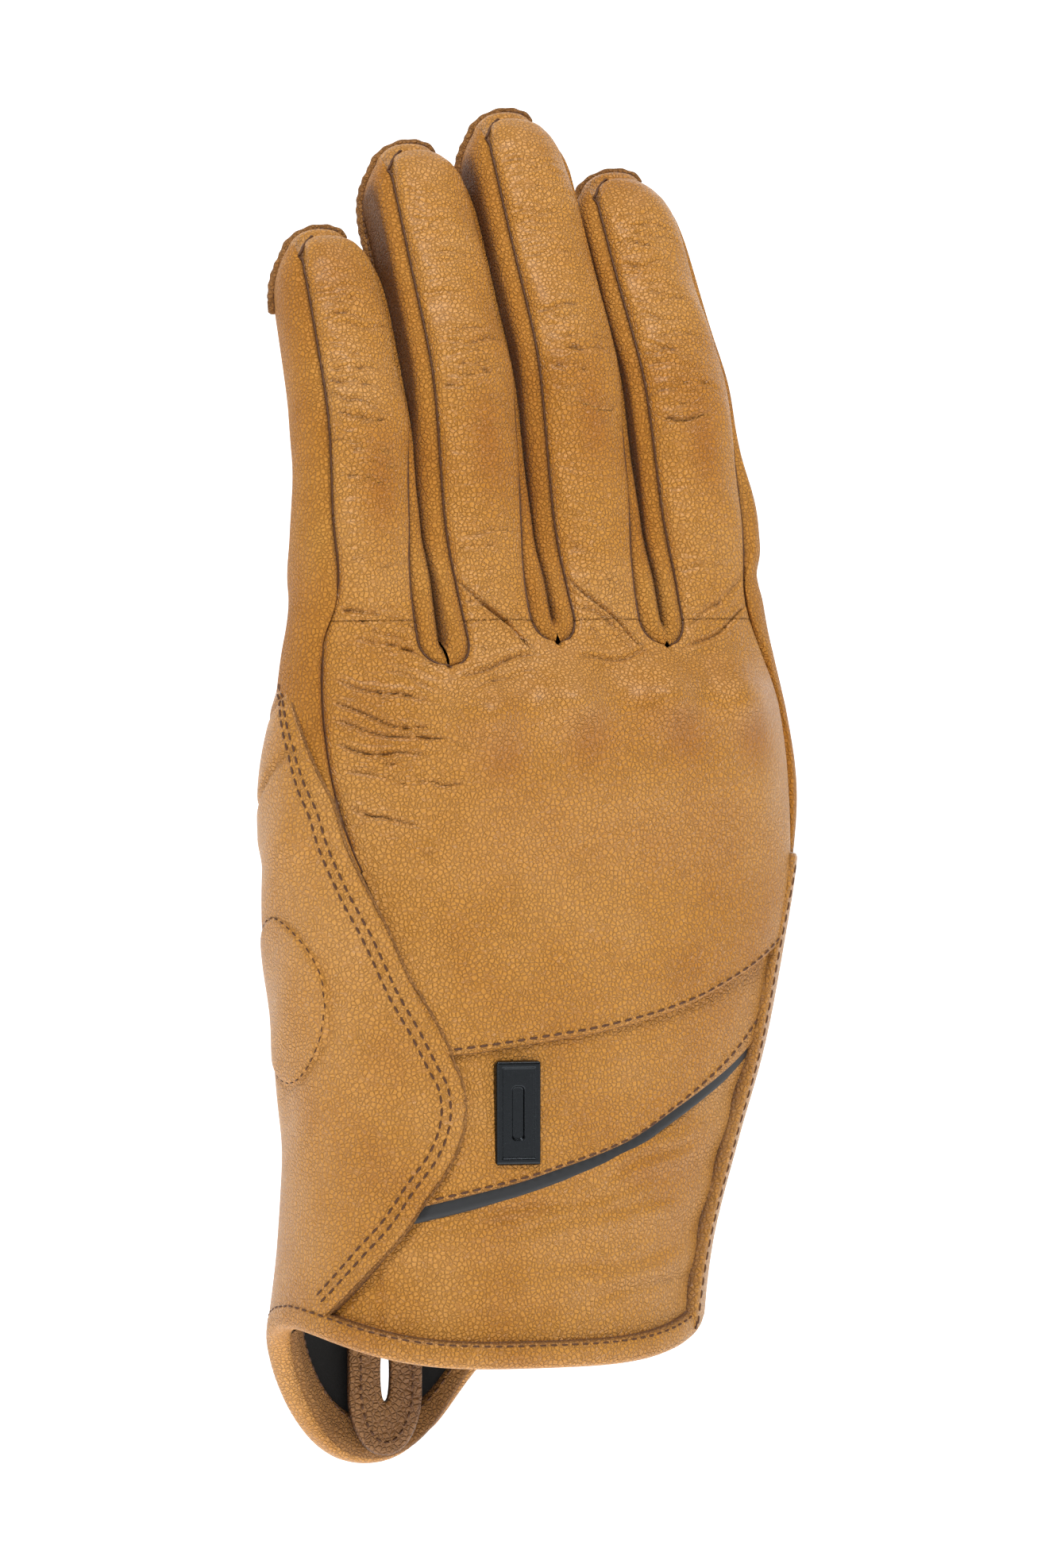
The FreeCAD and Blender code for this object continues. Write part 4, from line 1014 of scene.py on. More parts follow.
def build_finger(f):
    """All strips of one finger, each cut at the hand, and at the middle of the lower segment."""
    knuckle, middle, _ = finger_marks(f)
    cut = (knuckle + 9 + middle - 12) / 2
    lower, upper = f"{f}_lower", f"{f}_upper"
    back = back_column(f)
    palm = palm_column(f, 84.0)
    left = side_column(f, -1, back, palm, 96.0)
    right = side_column(f, 1, back, palm, 84.0)
    strips = (("back", back, TAN, False), ("little_side", left, SUEDE_TAN, True),
              ("thumb_side", right, SUEDE_TAN, False), ("palm", palm, TAN, True))
    for label, data, material, flip in strips:
        hand_parts.append((f, label, between(data, -99.0, SPLIT_HAND), material, flip))
        low = strip_piece(f"{f}_lower_{label}_leather", between(data, SPLIT_HAND, cut), material,
                          None, flip)
        blended(low, "hand", lower, f"{f}_knuckle", 3.0, 10.0)
        high = strip_piece(f"{f}_upper_{label}_leather", between(data, cut, 999.0), material,
                           None, flip)
        blended(high, lower, upper, f"{f}_middle_joint", 9.0, 9.0)
        if label in ("back", "palm"):
            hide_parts(f"{f}_lower_{label}")
            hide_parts(f"{f}_upper_{label}")
        if label == "little_side":
            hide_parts(f"{f}_lower_sides")
            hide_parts(f"{f}_upper_sides")
        if label == "back":
            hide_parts(f"{f}_knuckle_fold", f"{f}_root")
            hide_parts(f"{f}_middle_fold")
        if label in ("little_side", "thumb_side"):
            seam_threads(f, label, data, cut)
    points = tip_cap(f)
    cap = make_mesh(f"{f}_tip_leather", points, grid_faces(*points.shape[:2]), TAN, upper, None,
                    0 * points[..., 0], True)
    sides = [bpy.data.objects[f"{f}_upper_{label}_leather"]
             for label in ("little_side", "palm", "thumb_side", "back")]
    path = set_down(tip_rim_path(f), [cap] + sides, 0.35)
    rim = thread_tube(f"{f}_tip_rim", path, 0.95, RIM_BROWN, upper, 14, 0.10, 8)
    stitch_row(f"{f}_tip_rim_stitches", path[6:-6] + np.array([0.0, -0.8, 0.0]), rim, upper,
               pitch=1.35, length=1.1, radius=0.24)
    arch, out = back[0][-1], back[1][-1]
    thread_tube(f"{f}_tip_seam_thread", set_down(arch + 0.3 * out, [cap, sides[3]], 0.22), 0.24,
                THREAD, upper)


def seam_threads(f, label, data, cut):
    """The dark thread that lies in the valley between a finger's back and its side gusset."""
    points, normals, _, s = data
    edge = points[:, 0] + normals[:, 0] * 0.2
    height = s[:, 0]
    _, _, tip = finger_marks(f)
    for name, low, high, bodies in (("lower", SPLIT_HAND, cut, ("hand", f"{f}_lower")),
                                    ("upper", cut, tip, (f"{f}_lower", f"{f}_upper"))):
        rows = (height >= low) & (height <= high)
        if rows.sum() < 4:
            continue
        item = thread_tube(f"{f}_{name}_{label}_seam_thread", edge[rows], 0.2, THREAD, None)
        joint = f"{f}_knuckle" if name == "lower" else f"{f}_middle_joint"
        blended(item, *bodies, joint, *((3.0, 10.0) if name == "lower" else (9.0, 9.0)))
    rows = height < SPLIT_HAND
    if rows.sum() > 3:
        thread_tube(f"{f}_root_{label}_seam_thread", edge[rows], 0.2, THREAD, "hand")


for finger in FINGERS:
    build_finger(finger)


def weld_hand(label, name, *nodes):
    """Join the hand's share of the same strip of every finger into one piece."""
    chosen = [p for p in hand_parts if p[1] == label]
    vertices, faces, normals, seams, start = [], [], [], [], 0
    for _, _, (points, normal, seam), _, _ in chosen:
        quads = grid_faces(*points.shape[:2]) + start
        vertices.append(points.reshape(-1, 3))
        normals.append(normal.reshape(-1, 3))
        seams.append(seam.ravel())
        faces.append(quads)
        start += points.shape[0] * points.shape[1]
    item = make_mesh(name, np.concatenate(vertices), np.concatenate(faces), chosen[0][3], "hand",
                     np.concatenate(normals), np.concatenate(seams), chosen[0][4])
    if nodes:
        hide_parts(*nodes)
    return item


weld_hand("back", "back_leather", "hand_back_panel")
weld_hand("little_side", "crotch_gussets_little_side", "crotch_gussets")
weld_hand("thumb_side", "crotch_gussets_thumb_side")
weld_hand("palm", "palm_root_leather")


# ---------------------------------------------------------------- panels of the hand
def hand_panel(name, angles, heights, lift, material, nodes=(), body="hand", edges=(),
               extra=None):
    """A panel of the hand's surface.

    angles and heights are grids; lift raises it, and it rolls down to the layer below along the
    sides named in edges (low, high, first, last). extra adds relief, from the points and their
    distance to those sides.
    """
    flat = hand(angles, heights)
    down = np.linalg.norm(np.diff(flat, axis=0), axis=-1)
    run = np.concatenate([0 * down[:1], np.cumsum(down, axis=0)])
    over = np.linalg.norm(np.diff(flat, axis=1), axis=-1)
    side = np.concatenate([0 * over[:, :1], np.cumsum(over, axis=1)], axis=1)
    gaps = {"low": run, "high": run[-1:] - run, "first": side, "last": side[:, -1:] - side}
    near = np.full(angles.shape, 99.0)
    for edge in edges:
        near = np.minimum(near, gaps[edge])
    fold = rounded(near, 1.3)
    raised = -0.5 + (lift + 0.5) * fold * (1 - 0.25 * smooth(heights, 118.0, 138.0))
    if extra is not None:
        raised = raised + extra(flat, near)
    normal = grid_normals(flat, flip=True)
    if np.mean(normal[..., 1] * (flat[..., 1])) < 0:
        normal = -normal
    points = flat + normal * raised[..., None]
    # Painted shade along the rolled-down edges.
    seam = np.clip(1.15 * np.exp(-(near / 0.5) ** 2), 0, 1)
    item = make_mesh(name, points, grid_faces(*angles.shape), material, body, None, seam)
    fix_outward(item)
    if nodes:
        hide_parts(*nodes)
    return item


def fix_outward(item):
    """Turn the faces of an open panel so that they point away from the hand's axis."""
    data = item.data
    data.update()
    centres = np.zeros(len(data.polygons) * 3)
    normals = np.zeros(len(data.polygons) * 3)
    data.polygons.foreach_get("center", centres)
    data.polygons.foreach_get("normal", normals)
    centres, normals = centres.reshape(-1, 3), normals.reshape(-1, 3)
    away = centres - np.array([HAND_MIDDLE, 0.0, 0.0]) * MM
    away[:, 2] = 0.0
    if np.sum(away * normals) < 0:
        data.flip_normals()


def rows_between(low, high, count):
    """Heights from a low curve to a high curve, count rows."""
    q = np.linspace(0.0, 1.0, count)[:, None]
    return low[None, :] + (high - low)[None, :] * q


def folds_of_cuff(flat, near):
    """Soft wrinkles of the cuff's back: slanting swells that follow the wrist."""
    x, z = flat[..., 0], flat[..., 2]
    height = 0.25 * np.sin(z * 0.55 - x * 0.12 + 1.5 * np.sin(x * 0.05)) * smooth(z, 4, 14)
    for start, end, bow, depth in (((-14, 29.5), (18, 33.0), -1.0, 0.5),
                                   ((-6, 25.0), (32, 31.0), 1.2, 0.42),
                                   ((0, 19.0), (34, 22.0), -1.5, 0.35),
                                   ((14, 36.0), (38, 42.5), 0.8, 0.40),
                                   ((10, 12.0), (36, 15.0), 1.0, 0.30)):
        height = height + crease(x, z, start, end, bow, depth, 0.9)
    short = -0.6 * np.exp(-((x + 31.3) / 0.45) ** 2) * smooth(z, 7.0, 8.0) * (
        1 - smooth(z, 18.0, 21.0))
    return height * (1 - np.exp(-(near / 3.0) ** 2)) + short


def cuff_panels():
    """The cuff's back, the reflective strip and the wrist band, one over the other."""
    angle = np.linspace(20.0, 176.0, 190)
    x = hand(angle, 50.0 + 0 * angle)[:, 0]
    top = through(x, *BAND_TOP)
    bottom = through(x, *BAND_BOTTOM)
    grid = np.broadcast_to(angle, (70, len(angle)))
    low = cuff_z(angle) + 2.0
    item = hand_panel("cuff_back_leather", grid, rows_between(low, bottom + 3, 70), 0.0, TAN,
                      ("cuff_back_panel",), extra=folds_of_cuff)
    grid = np.broadcast_to(angle, (12, len(angle)))
    strip = hand_panel("reflective_strip_film", grid,
                       rows_between(bottom - STITCH_BACK - STRIP_WIDTH, bottom + 1, 12), 0.3,
                       FILM, ("reflective_strip",), edges=("low",))
    grid = np.broadcast_to(angle, (64, len(angle)))
    band = hand_panel("wrist_band_leather", grid,
                      rows_between(bottom - STITCH_BACK, top + 4, 64), 0.8, TAN,
                      ("wrist_band",), edges=("low",))
    for name, line, stop, leather in (
            ("band_top_stitches", BAND_TOP, 58.0, "back_leather"),
            ("band_bottom_stitches", BAND_BOTTOM, 52.0, "wrist_band_leather")):
        x_line = np.linspace(-24.0, stop, 160)
        z_line = through(x_line, *line)
        keep = x_line > side_edge(z_line) + 0.5
        path = hand(back_angle(x_line, z_line), z_line, 1.5)[keep]
        stitch_row(name, path, bpy.data.objects[leather], "hand")


def hand_out(points):
    """Outward directions of the hand's section near some points."""
    middle, wide, back, palm = hand_sizes(points[:, 2])
    deep = np.where(points[:, 1] < 0, back, palm)
    out = np.stack([(points[:, 0] - middle) / wide ** 2, points[:, 1] / deep ** 2,
                    0 * middle], -1)
    return unit(out)


QUILT = ((133.0, 115.5), (118.0, 100.0))    # heights of each quilt line at its two ends
HEEL_PATCH = (-1.0, 70.5)                   # middle (y, z) of the oval patch


def side_relief(flat, near):
    """The side panel's padding: quilt channels, the oval patch and a soft swell."""
    y, z = flat[..., 1], flat[..., 2]
    pad = smooth(z, 96.0, 102.0) * (1 - smooth(z, 126.0, 134.0)) * smooth(y, -12.0, -4.0)
    height = 0.8 * pad
    for upper, lower in QUILT:
        line = upper + (lower - upper) * smooth(y, -14.0, 12.0) + 6.0
        gap = (z - line) / 0.9
        height = height - 0.7 * np.exp(-gap ** 2) * smooth(y, -13.0, -8.0)
    radius = np.hypot((y - HEEL_PATCH[0]) / 11.5, (z - HEEL_PATCH[1]) / 17.0)
    height = height + 0.55 * (1 - smooth(radius, 0.90, 1.0))
    height = height - 0.45 * np.exp(-((radius - 0.96) / 0.045) ** 2)
    folds = 0.3 * np.sin(z * 0.22 + y * 0.35) * smooth(z, 30.0, 50.0)
    return (height + folds) * (1 - np.exp(-(near / 3.0) ** 2))


def side_panel():
    """The palm leather that comes round the little-finger side onto the back of the hand."""
    z = np.linspace(3.0, 138.5, 230)
    edge = back_angle(side_edge(z), z)
    q = np.linspace(0.0, 1.0, 110)[None, :]
    angles = edge[:, None] + (SIDE_PALM_ANGLE - edge[:, None]) * q
    heights = z[:, None] + 0 * angles
    low = cuff_z(angles) + 2.0
    heights = np.maximum(heights, low + (heights - 3.0) * 0.02)
    item = hand_panel("side_palm_leather", angles, heights, 2.0, TAN, ("side_palm_panel",),
                      edges=("first", "high"), extra=side_relief)
    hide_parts("quilted_patch", "heel_patch")
    for row, shift in (("outer", 3.3), ("inner", 5.1)):
        zz = z[(z > 9.0) & (z < 136.0)]
        path = hand(back_angle(side_edge(zz), zz), zz, 2.0)
        way = unit(np.gradient(path, axis=0))
        inward = np.cross(hand_out(path), way)
        inward = inward * np.sign(-inward[:, :1] + 1e-9)
        squeeze = 0.55 + 0.45 * (1 - smooth(zz, 110.0, 134.0))
        moved = path + inward * (shift * squeeze)[:, None]
        stitch_row(f"side_panel_stitches_{row}", moved, item, "hand", pitch=2.45, length=1.6)
    # A dark brown tube along the side panel's raised edge: a painted shadow line at the foot of the edge.
    zz = z[(z > 6.0) & (z < 137.0)]
    foot = set_down(hand(back_angle(side_edge(zz) + 0.5, zz), zz, 2.0),
                    [bpy.data.objects["back_leather"], item], 0.1)
    thread_tube("side_panel_cut_edge", foot, 0.3, RIM_BROWN, "hand")
    oval = np.radians(np.linspace(0.0, 360.0, 200))
    y, zz = HEEL_PATCH[0] + 11.0 * np.cos(oval), HEEL_PATCH[1] + 16.3 * np.sin(oval)
    path = side_point(y, zz, 2.1)
    stitch_row("heel_patch_stitches", path, item, "hand", pitch=2.2, length=1.2, radius=0.16)


def side_point(y, z, lift):
    """Points of the little-finger side at y and z."""
    middle, wide, back, palm = hand_sizes(z)
    deep = np.where(y < 0, back, palm)
    ratio = np.clip(np.abs(y) / deep, 0.0, 0.999)
    c = (1 - ratio ** ROUND) ** (1 / ROUND)
    return np.stack([middle - (wide + lift) * c, y, z], -1)


def open_slit(item):
    """Remove the faces of a palm-side layer that lie behind the pull tab's slit."""
    net = bmesh.new()
    net.from_mesh(item.data)
    gone = []
    for face in net.faces:
        x, y, z = face.calc_center_median() / MM
        aside = abs(x - TONGUE_X - SLIT_SLANT * (y - TAB_Y))
        if y > 0 and aside < 1.7 and SLIT_LOW - 0.8 < z < SLIT_HIGH + 0.8:
            gone.append(face)
    bmesh.ops.delete(net, geom=gone, context="FACES")
    net.to_mesh(item.data)
    net.free()


def palm_panels():
    """The palm leather from the side panel round to the thumb side, and the seam strip."""
    angle = np.linspace(SIDE_PALM_ANGLE - 2.0, 366.0, 260)
    low = cuff_z(angle) + 2.0
    grid = np.broadcast_to(angle, (200, len(angle)))
    heights = rows_between(low, np.full(len(angle), PALM_TOP), 200)

    def palm_relief(flat, near):
        x, z = flat[..., 0], flat[..., 2]
        life = crease(x, z, (-20.0, 112.0), (34.0, 96.0), -6.0, 0.5, 1.2)
        heart = crease(x, z, (-24.0, 124.0), (40.0, 122.0), -5.0, 0.4, 1.1)
        wrist = crease(x, z, (-26.0, 30.0), (30.0, 30.0), 1.5, 0.5, 1.3)
        return life + heart + wrist

    item = hand_panel("palm_leather", grid, heights, 0.0, TAN, ("palm_panel",),
                      extra=palm_relief)
    open_slit(item)
    z = np.linspace(3.0, 99.0, 150)
    edge = through(z, SEAM_ANGLE_Z, SEAM_ANGLE)
    q = np.linspace(0.0, 1.0, 40)[None, :]
    angles = edge[:, None] + (-22.0 - edge[:, None]) * q
    heights = z[:, None] + 0 * angles
    heights = np.maximum(heights, cuff_z(angles % 360.0) + 2.0 + (heights - 3.0) * 0.02)
    strip = hand_panel("side_seam_leather", angles, heights, 2.2, TAN, ("side_seam_strip",),
                       edges=("first", "last", "high"))
    keep = z < 97.0
    path = hand(edge[keep] - 3.2, z[keep], 2.25)
    stitch_row("side_seam_stitches", path, strip, "hand")


cuff_panels()
side_panel()
palm_panels()


# ---------------------------------------------------------------- binding, lining and pull tab
def binding():
    """Rolled leather along the cuff's edge: a bean-shaped profile carried round the opening.

    The profile stands 4.7 mm high outside and turns in under the edge.
    """
    turn = np.linspace(0.0, 360.0, 361)[:-1]
    z = cuff_z(turn)
    z = np.convolve(np.concatenate([z[-6:], z, z[:6]]), np.ones(13) / 13, "valid")
    base = hand(turn, z)
    way = unit(np.roll(base, -1, axis=0) - np.roll(base, 1, axis=0))
    out = hand_out(base)
    out = unit(out - way * np.sum(out * way, axis=1, keepdims=True))
    up = np.cross(out, way)
    up = up * np.sign(up[:, 2:3])
    ring = np.radians(np.arange(0.0, 360.0, 15.0))
    across = -0.4 + 2.5 * np.sign(np.cos(ring)) * np.abs(np.cos(ring)) ** 0.8
    along = 2.0 + 2.75 * np.sign(np.sin(ring)) * np.abs(np.sin(ring)) ** 0.75
    pucker = 1 + 0.03 * np.sin(turn * 2.9)[:, None]
    points = (base[:, None, :] + out[:, None, :] * (across[None, :] * pucker)[..., None]
              + up[:, None, :] * along[None, :, None])
    faces = ring_faces(*points.shape[:2])
    # Painted shade along the roll's upper outer shoulder, where it meets the panels.
    seam = np.clip(np.exp(-((along - 4.75) / 0.5) ** 2) * (across > 0), 0, 1)
    item = make_mesh("cuff_binding_leather", points, faces, TAN, "hand", None,
                     np.broadcast_to(seam, points.shape[:2]))
    outward_closed(item)
    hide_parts("cuff_binding")
    path = base + up * 4.0 + out * 1.9
    closed = np.concatenate([path, path[:1]])
    stitch_row("cuff_binding_stitches", closed, item, "hand", pitch=2.3, length=1.4, radius=0.22)


def outward_closed(item):
    """Make a closed mesh's faces point outwards, from the sign of its volume."""
    data = item.data
    data.calc_loop_triangles()
    corners = np.zeros(len(data.loop_triangles) * 3, int)
    data.loop_triangles.foreach_get("vertices", corners)
    points = np.zeros(len(data.vertices) * 3)
    data.vertices.foreach_get("co", points)
    points = points.reshape(-1, 3)
    a, b, c = (points[corners.reshape(-1, 3)[:, k]] for k in range(3))
    if np.sum(a * np.cross(b, c)) < 0:
        data.flip_normals()


def lining():
    """The black knit lining: the hand's surface 3.2 mm inside, from the cuff to the knuckles."""
    turn = np.linspace(0.0, 360.0, 401)[None, :]
    q = np.linspace(0.0, 1.0, 110)[:, None] ** 1.5
    low = cuff_z(turn) + 1.8
    z = low + (131.0 - low) * q
    shrink = 1 - 0.97 * smooth(q, 0.93, 1.0) ** 2
    flat = hand(turn + 0 * z, z, -3.2)
    middle = hand_sizes(z)[0]
    x = middle + (flat[..., 0] - middle) * shrink
    y = flat[..., 1] * shrink
    points = np.stack([x, y, z + 0 * x], -1)
    item = make_mesh("hand_lining_knit", points, grid_faces(*points.shape[:2]), LINING, "hand")
    fix_outward(item)
    item.data.flip_normals()
    open_slit(item)
    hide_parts("hand_lining")


def facing():
    """The brown leather strip inside the tongue, sewn over the lining's lower edge."""
    turn = np.linspace(196.0, 338.0, 240)[:, None]
    v = np.linspace(0.0, 1.0, 9)[None, :]
    swell = -2.7 - 1.3 * np.sqrt(np.clip(1 - (2 * v - 1) ** 4, 0, 1))
    points = hand(turn + 0 * v, cuff_z(turn) + 0.5 + 8.6 * v, swell + 0 * turn)
    # Painted shade towards the upper edge, where it meets the lining.
    seam = np.broadcast_to(0.7 * smooth(v, 0.8, 1.0), points.shape[:2])
    item = make_mesh("cuff_facing_leather", points, grid_faces(*points.shape[:2]), RIM_BROWN,
                     "hand", None, seam)
    fix_outward(item)
    item.data.flip_normals()
    line = hand(turn[:, 0], cuff_z(turn[:, 0]) + 7.4, -4.0)
    stitch_row("cuff_facing_stitches", line, item, "hand", pitch=2.2, length=1.4, radius=0.22)


def pull_tab():
    """The pull tab: a strap with a pointed round end and a slit, thick, with domed faces.

    Closed rings of points run from the slit, over the front, to the outline and back over the rear.
    """
    turn = np.radians(np.arange(0.0, 360.0, 3.0))
    c, s = np.cos(turn), np.sin(turn)
    tip_z, top_z, half = -21.2, 8.0, 7.9
    round_x = half * np.sign(c) * np.abs(c) ** 0.9
    low = -8.5 + (tip_z + 8.5) * np.abs(s) ** 1.05
    outer_z = np.where(s < 0, low, 2.0 + (top_z - 2.0) * np.abs(s) ** 0.5)
    inner_x = SLIT_WIDE / 2 * np.sign(c) * np.abs(c) ** 0.7
    inner_z = (SLIT_LOW + SLIT_HIGH) / 2 + (SLIT_HIGH - SLIT_LOW) / 2 * s
    ring = np.array([0.0, 0.0, 0.03, 0.10, 0.35, 0.65, 0.90, 0.97, 1.0, 1.0])
    face = np.array([0.5, -0.5, -0.85, -1.0, -1.0, -1.0, -1.0, -0.85, -0.5, 0.5])
    ring = np.concatenate([ring, ring[1:-1][::-1]])
    face = np.concatenate([face, -face[1:-1][::-1]])
    x = inner_x[:, None] + (round_x - inner_x)[:, None] * ring[None, :]
    z = inner_z[:, None] + (outer_z - inner_z)[:, None] * ring[None, :]
    y = TAB_Y + face[None, :] + 0 * x
    points = np.stack([TONGUE_X + x, y, z], -1)
    faces = ring_faces(*points.shape[:2])
    seam = np.broadcast_to(np.where(np.isin(ring, (0.0, 1.0)), 0.75, 0.0), x.shape)
    item = make_mesh("pull_tab_leather", points, faces, TAB_BROWN, "hand", None, seam)
    outward_closed(item)
    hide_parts("pull_tab")
    arc = np.radians(np.linspace(180.0, 360.0, 60))
    path = np.stack([TONGUE_X + 5.6 * np.cos(arc), np.full(60, TAB_Y - 1.0),
                     -8.0 + (tip_z + 10.6) * np.abs(np.sin(arc)) ** 1.1], -1)
    path = np.concatenate([[[TONGUE_X - 5.6, TAB_Y - 1.0, 5.0]], path,
                           [[TONGUE_X + 5.6, TAB_Y - 1.0, 5.0]]])
    stitch_row("pull_tab_stitches", path, item, "hand", pitch=1.9, length=1.25, radius=0.24)


binding()
lining()
facing()
pull_tab()


# ---------------------------------------------------------------- badge
def badge():
    """A plain raised plate in black nickel: a rounded slab with a sunk field and a slot.

    It is turned with the surface of the wrist band, and stands on it.
    """
    lo, hi = (np.array(c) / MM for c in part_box("badge"))
    centre = (lo + hi) / 2
    width, height, corner_radius, turn, foot_y = 9.4, 20.6, 1.2, np.radians(-8.0), -25.9
    u = np.linspace(-1.0, 1.0, 90)[None, :]
    v = np.linspace(-1.0, 1.0, 180)[:, None]
    x, z = width / 2 * u + 0 * v, height / 2 * v + 0 * u
    rim = np.minimum(width / 2 - np.abs(x), height / 2 - np.abs(z))
    depth = 1.5 * rounded(rim, 0.7)
    field = smooth(rim, 1.3, 1.6)
    slot = 1 - smooth(np.hypot(np.clip(np.abs(x) - 0.5, 0, 9), np.clip(np.abs(z) - 4.5, 0, 9)),
                      0.5, 0.8)
    depth = depth - 0.35 * field - 0.6 * slot
    straight_x, straight_z = width / 2 - corner_radius, height / 2 - corner_radius
    past_x, past_z = (np.clip(np.abs(x) - straight_x, 0, 9), np.clip(np.abs(z) - straight_z, 0, 9))
    corner = np.hypot(past_x, past_z)
    pull = np.where(corner > corner_radius, corner_radius / np.maximum(corner, 1e-6), 1.0)
    x = np.sign(x) * (np.minimum(np.abs(x), straight_x) + past_x * pull)
    z = np.sign(z) * (np.minimum(np.abs(z), straight_z) + past_z * pull)
    front = np.stack([x * np.cos(turn) + depth * np.sin(turn) + centre[0],
                      x * np.sin(turn) - depth * np.cos(turn) + foot_y,
                      z + centre[2]], -1)
    item = make_mesh("badge_plate", front, grid_faces(*front.shape[:2]), GUNMETAL, "hand")
    fix_outward(item)
    thicken(item, 0.9)
    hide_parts("badge")


badge()


# ---------------------------------------------------------------- guard and foam
def deepest_back(x, z):
    """y of the back leather over each point, from the finger column it belongs to."""
    y = column_back_y("pinky", x, z)
    for name, right in zip(FINGERS[:-1], FINGERS[1:]):
        y = np.where(x > boundary(name), column_back_y(right, x, z), y)
    return y


def guard_layers():
    """The hard guard and its foam under the back leather, each a thin closed shell."""
    for name, node, low, thick, material, slot in (
            ("knuckle_guard_shell", "knuckle_guard", 1.5, 1.4, GUARD, "guard_plastic"),
            ("knuckle_foam_pad", "knuckle_foam", 3.2, 1.6, FOAM, "foam")):
        x = np.linspace(-18.0, 56.0, 70)[None, :]
        z = np.linspace(99.0, 131.0, 40)[:, None]
        y = np.maximum(hand_y(x, z), deepest_back(x, z)) + low
        points = np.stack([x + 0 * z, y, z + 0 * x], -1)
        item = make_mesh(name, points, grid_faces(*points.shape[:2]), material, "hand")
        fix_outward(item)
        thicken(item, thick)
        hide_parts(node)


guard_layers()


# ---------------------------------------------------------------- thumb
THUMB_BASE = HINGES["thumb_base"]
THUMB_MIDDLE = HINGES["thumb_middle_joint"]
THUMB_WAY = (THUMB_MIDDLE - THUMB_BASE) / np.linalg.norm(THUMB_MIDDLE - THUMB_BASE)


def thumb():
    """The thumb: a tube along a gently bent line from a round heel in the palm to a round tip.

    Distances s run along the line from the base joint, and every section is a rounded ellipse.
    """
    low, high = -26.0, 60.5
    s = np.concatenate([np.arange(low, high - 11, 0.7),
                        high - 11 + 11 * np.sin(np.linspace(0, 1, 30)[1:] * np.pi / 2)])[:, None]
    first = np.degrees(np.arctan2(THUMB_WAY[1], THUMB_WAY[2]))
    tilt = np.radians(first + 9.0 * smooth(s[:, 0], 14.0, 34.0))
    step = np.diff(s[:, 0], prepend=s[0, 0])
    y = np.cumsum(np.sin(tilt) * step)
    z = np.cumsum(np.cos(tilt) * step)
    zero = np.argmin(np.abs(s[:, 0]))
    y, z = y - y[zero] + THUMB_BASE[1], z - z[zero] + THUMB_BASE[2]
    angle = np.radians(np.linspace(0.0, 360.0, 121))[None, :]
    q = np.clip((s - (high - 11)) / 11, 0, 1)
    heel = 1 - np.clip((s - low) / 14.0, 0, 1)
    close = np.sqrt(np.clip(1 - q ** 2.2, 0, 1) * np.clip(1 - heel ** 2.2, 0, 1))
    marks = (-26, -12, 0, 12, 24, 34, 50, 61)
    wide = through(s, marks, (17.5, 14.6, 13.0, 12.0, 11.8, 11.4, 10.4, 9.4)) * close
    deep = through(s, marks, (17.0, 13.8, 12.2, 11.2, 11.0, 10.6, 9.6, 8.6)) * close
    local_x = wide * power(np.cos(angle))
    local_y = deep * power(np.sin(angle))
    turn = tilt[:, None]
    x = THUMB_BASE[0] + local_x
    yy = y[:, None] + local_y * np.cos(turn)
    zz = z[:, None] - local_y * np.sin(turn)
    points = np.stack([x, yy, zz + 0 * x], -1)
    normal = grid_normals(points, flip=True)
    centre = np.stack([0 * s + THUMB_BASE[0], y[:, None], z[:, None]], -1)
    if np.mean(np.sum(normal * (points - centre), axis=-1)) < 0:
        normal = -normal
    lift = 0 * x
    for k, at in enumerate((-3.0, 1.0, 4.5, 20.0, 23.5, 27.0, 31.0, 40.0)):
        lift = lift - 0.32 * np.exp(-((s - at - 0.8 * np.sin(angle * 2 + k)) / 0.7) ** 2) * (
            0.6 + 0.4 * np.sin(angle + k))
    # Painted shade in the two seam valleys.
    seams = 0 * x
    for mark in (0.0, np.pi):
        gap = np.abs(np.arctan2(np.sin(angle - mark), np.cos(angle - mark))) * 11.5
        lift = lift - 0.7 * np.exp(-(gap / 0.8) ** 2)
        seams = np.maximum(seams, np.clip(1.2 * np.exp(-(gap / 0.5) ** 2), 0, 1) + 0 * s)
    points = points + normal * lift[..., None]
    normal = grid_normals(points, flip=True)
    if np.mean(np.sum(normal * (points - centre), axis=-1)) < 0:
        normal = -normal
    height = s[:, 0]
    cut = 12.0
    for name, a, b, bodies, joint, nodes in (
            ("thumb_lower_leather", low, cut, ("hand", "thumb_lower"), "thumb_base",
             ("thumb_root_gusset", "thumb_lower_back", "thumb_lower_palm")),
            ("thumb_upper_leather", cut, high, ("thumb_lower", "thumb_upper"),
             "thumb_middle_joint", ("thumb_upper_back", "thumb_upper_palm"))):
        rows = np.where((height >= a - 1e-6) & (height <= b + 1e-6))[0]
        last = min(rows[-1] + 1, len(height) - 1)
        pick = slice(rows[0], last + 1)
        item = make_mesh(name, points[pick], grid_faces(*points[pick].shape[:2]), TAN, None,
                         normal[pick], seams[pick])
        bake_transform(item)
        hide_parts(*nodes)


thumb()


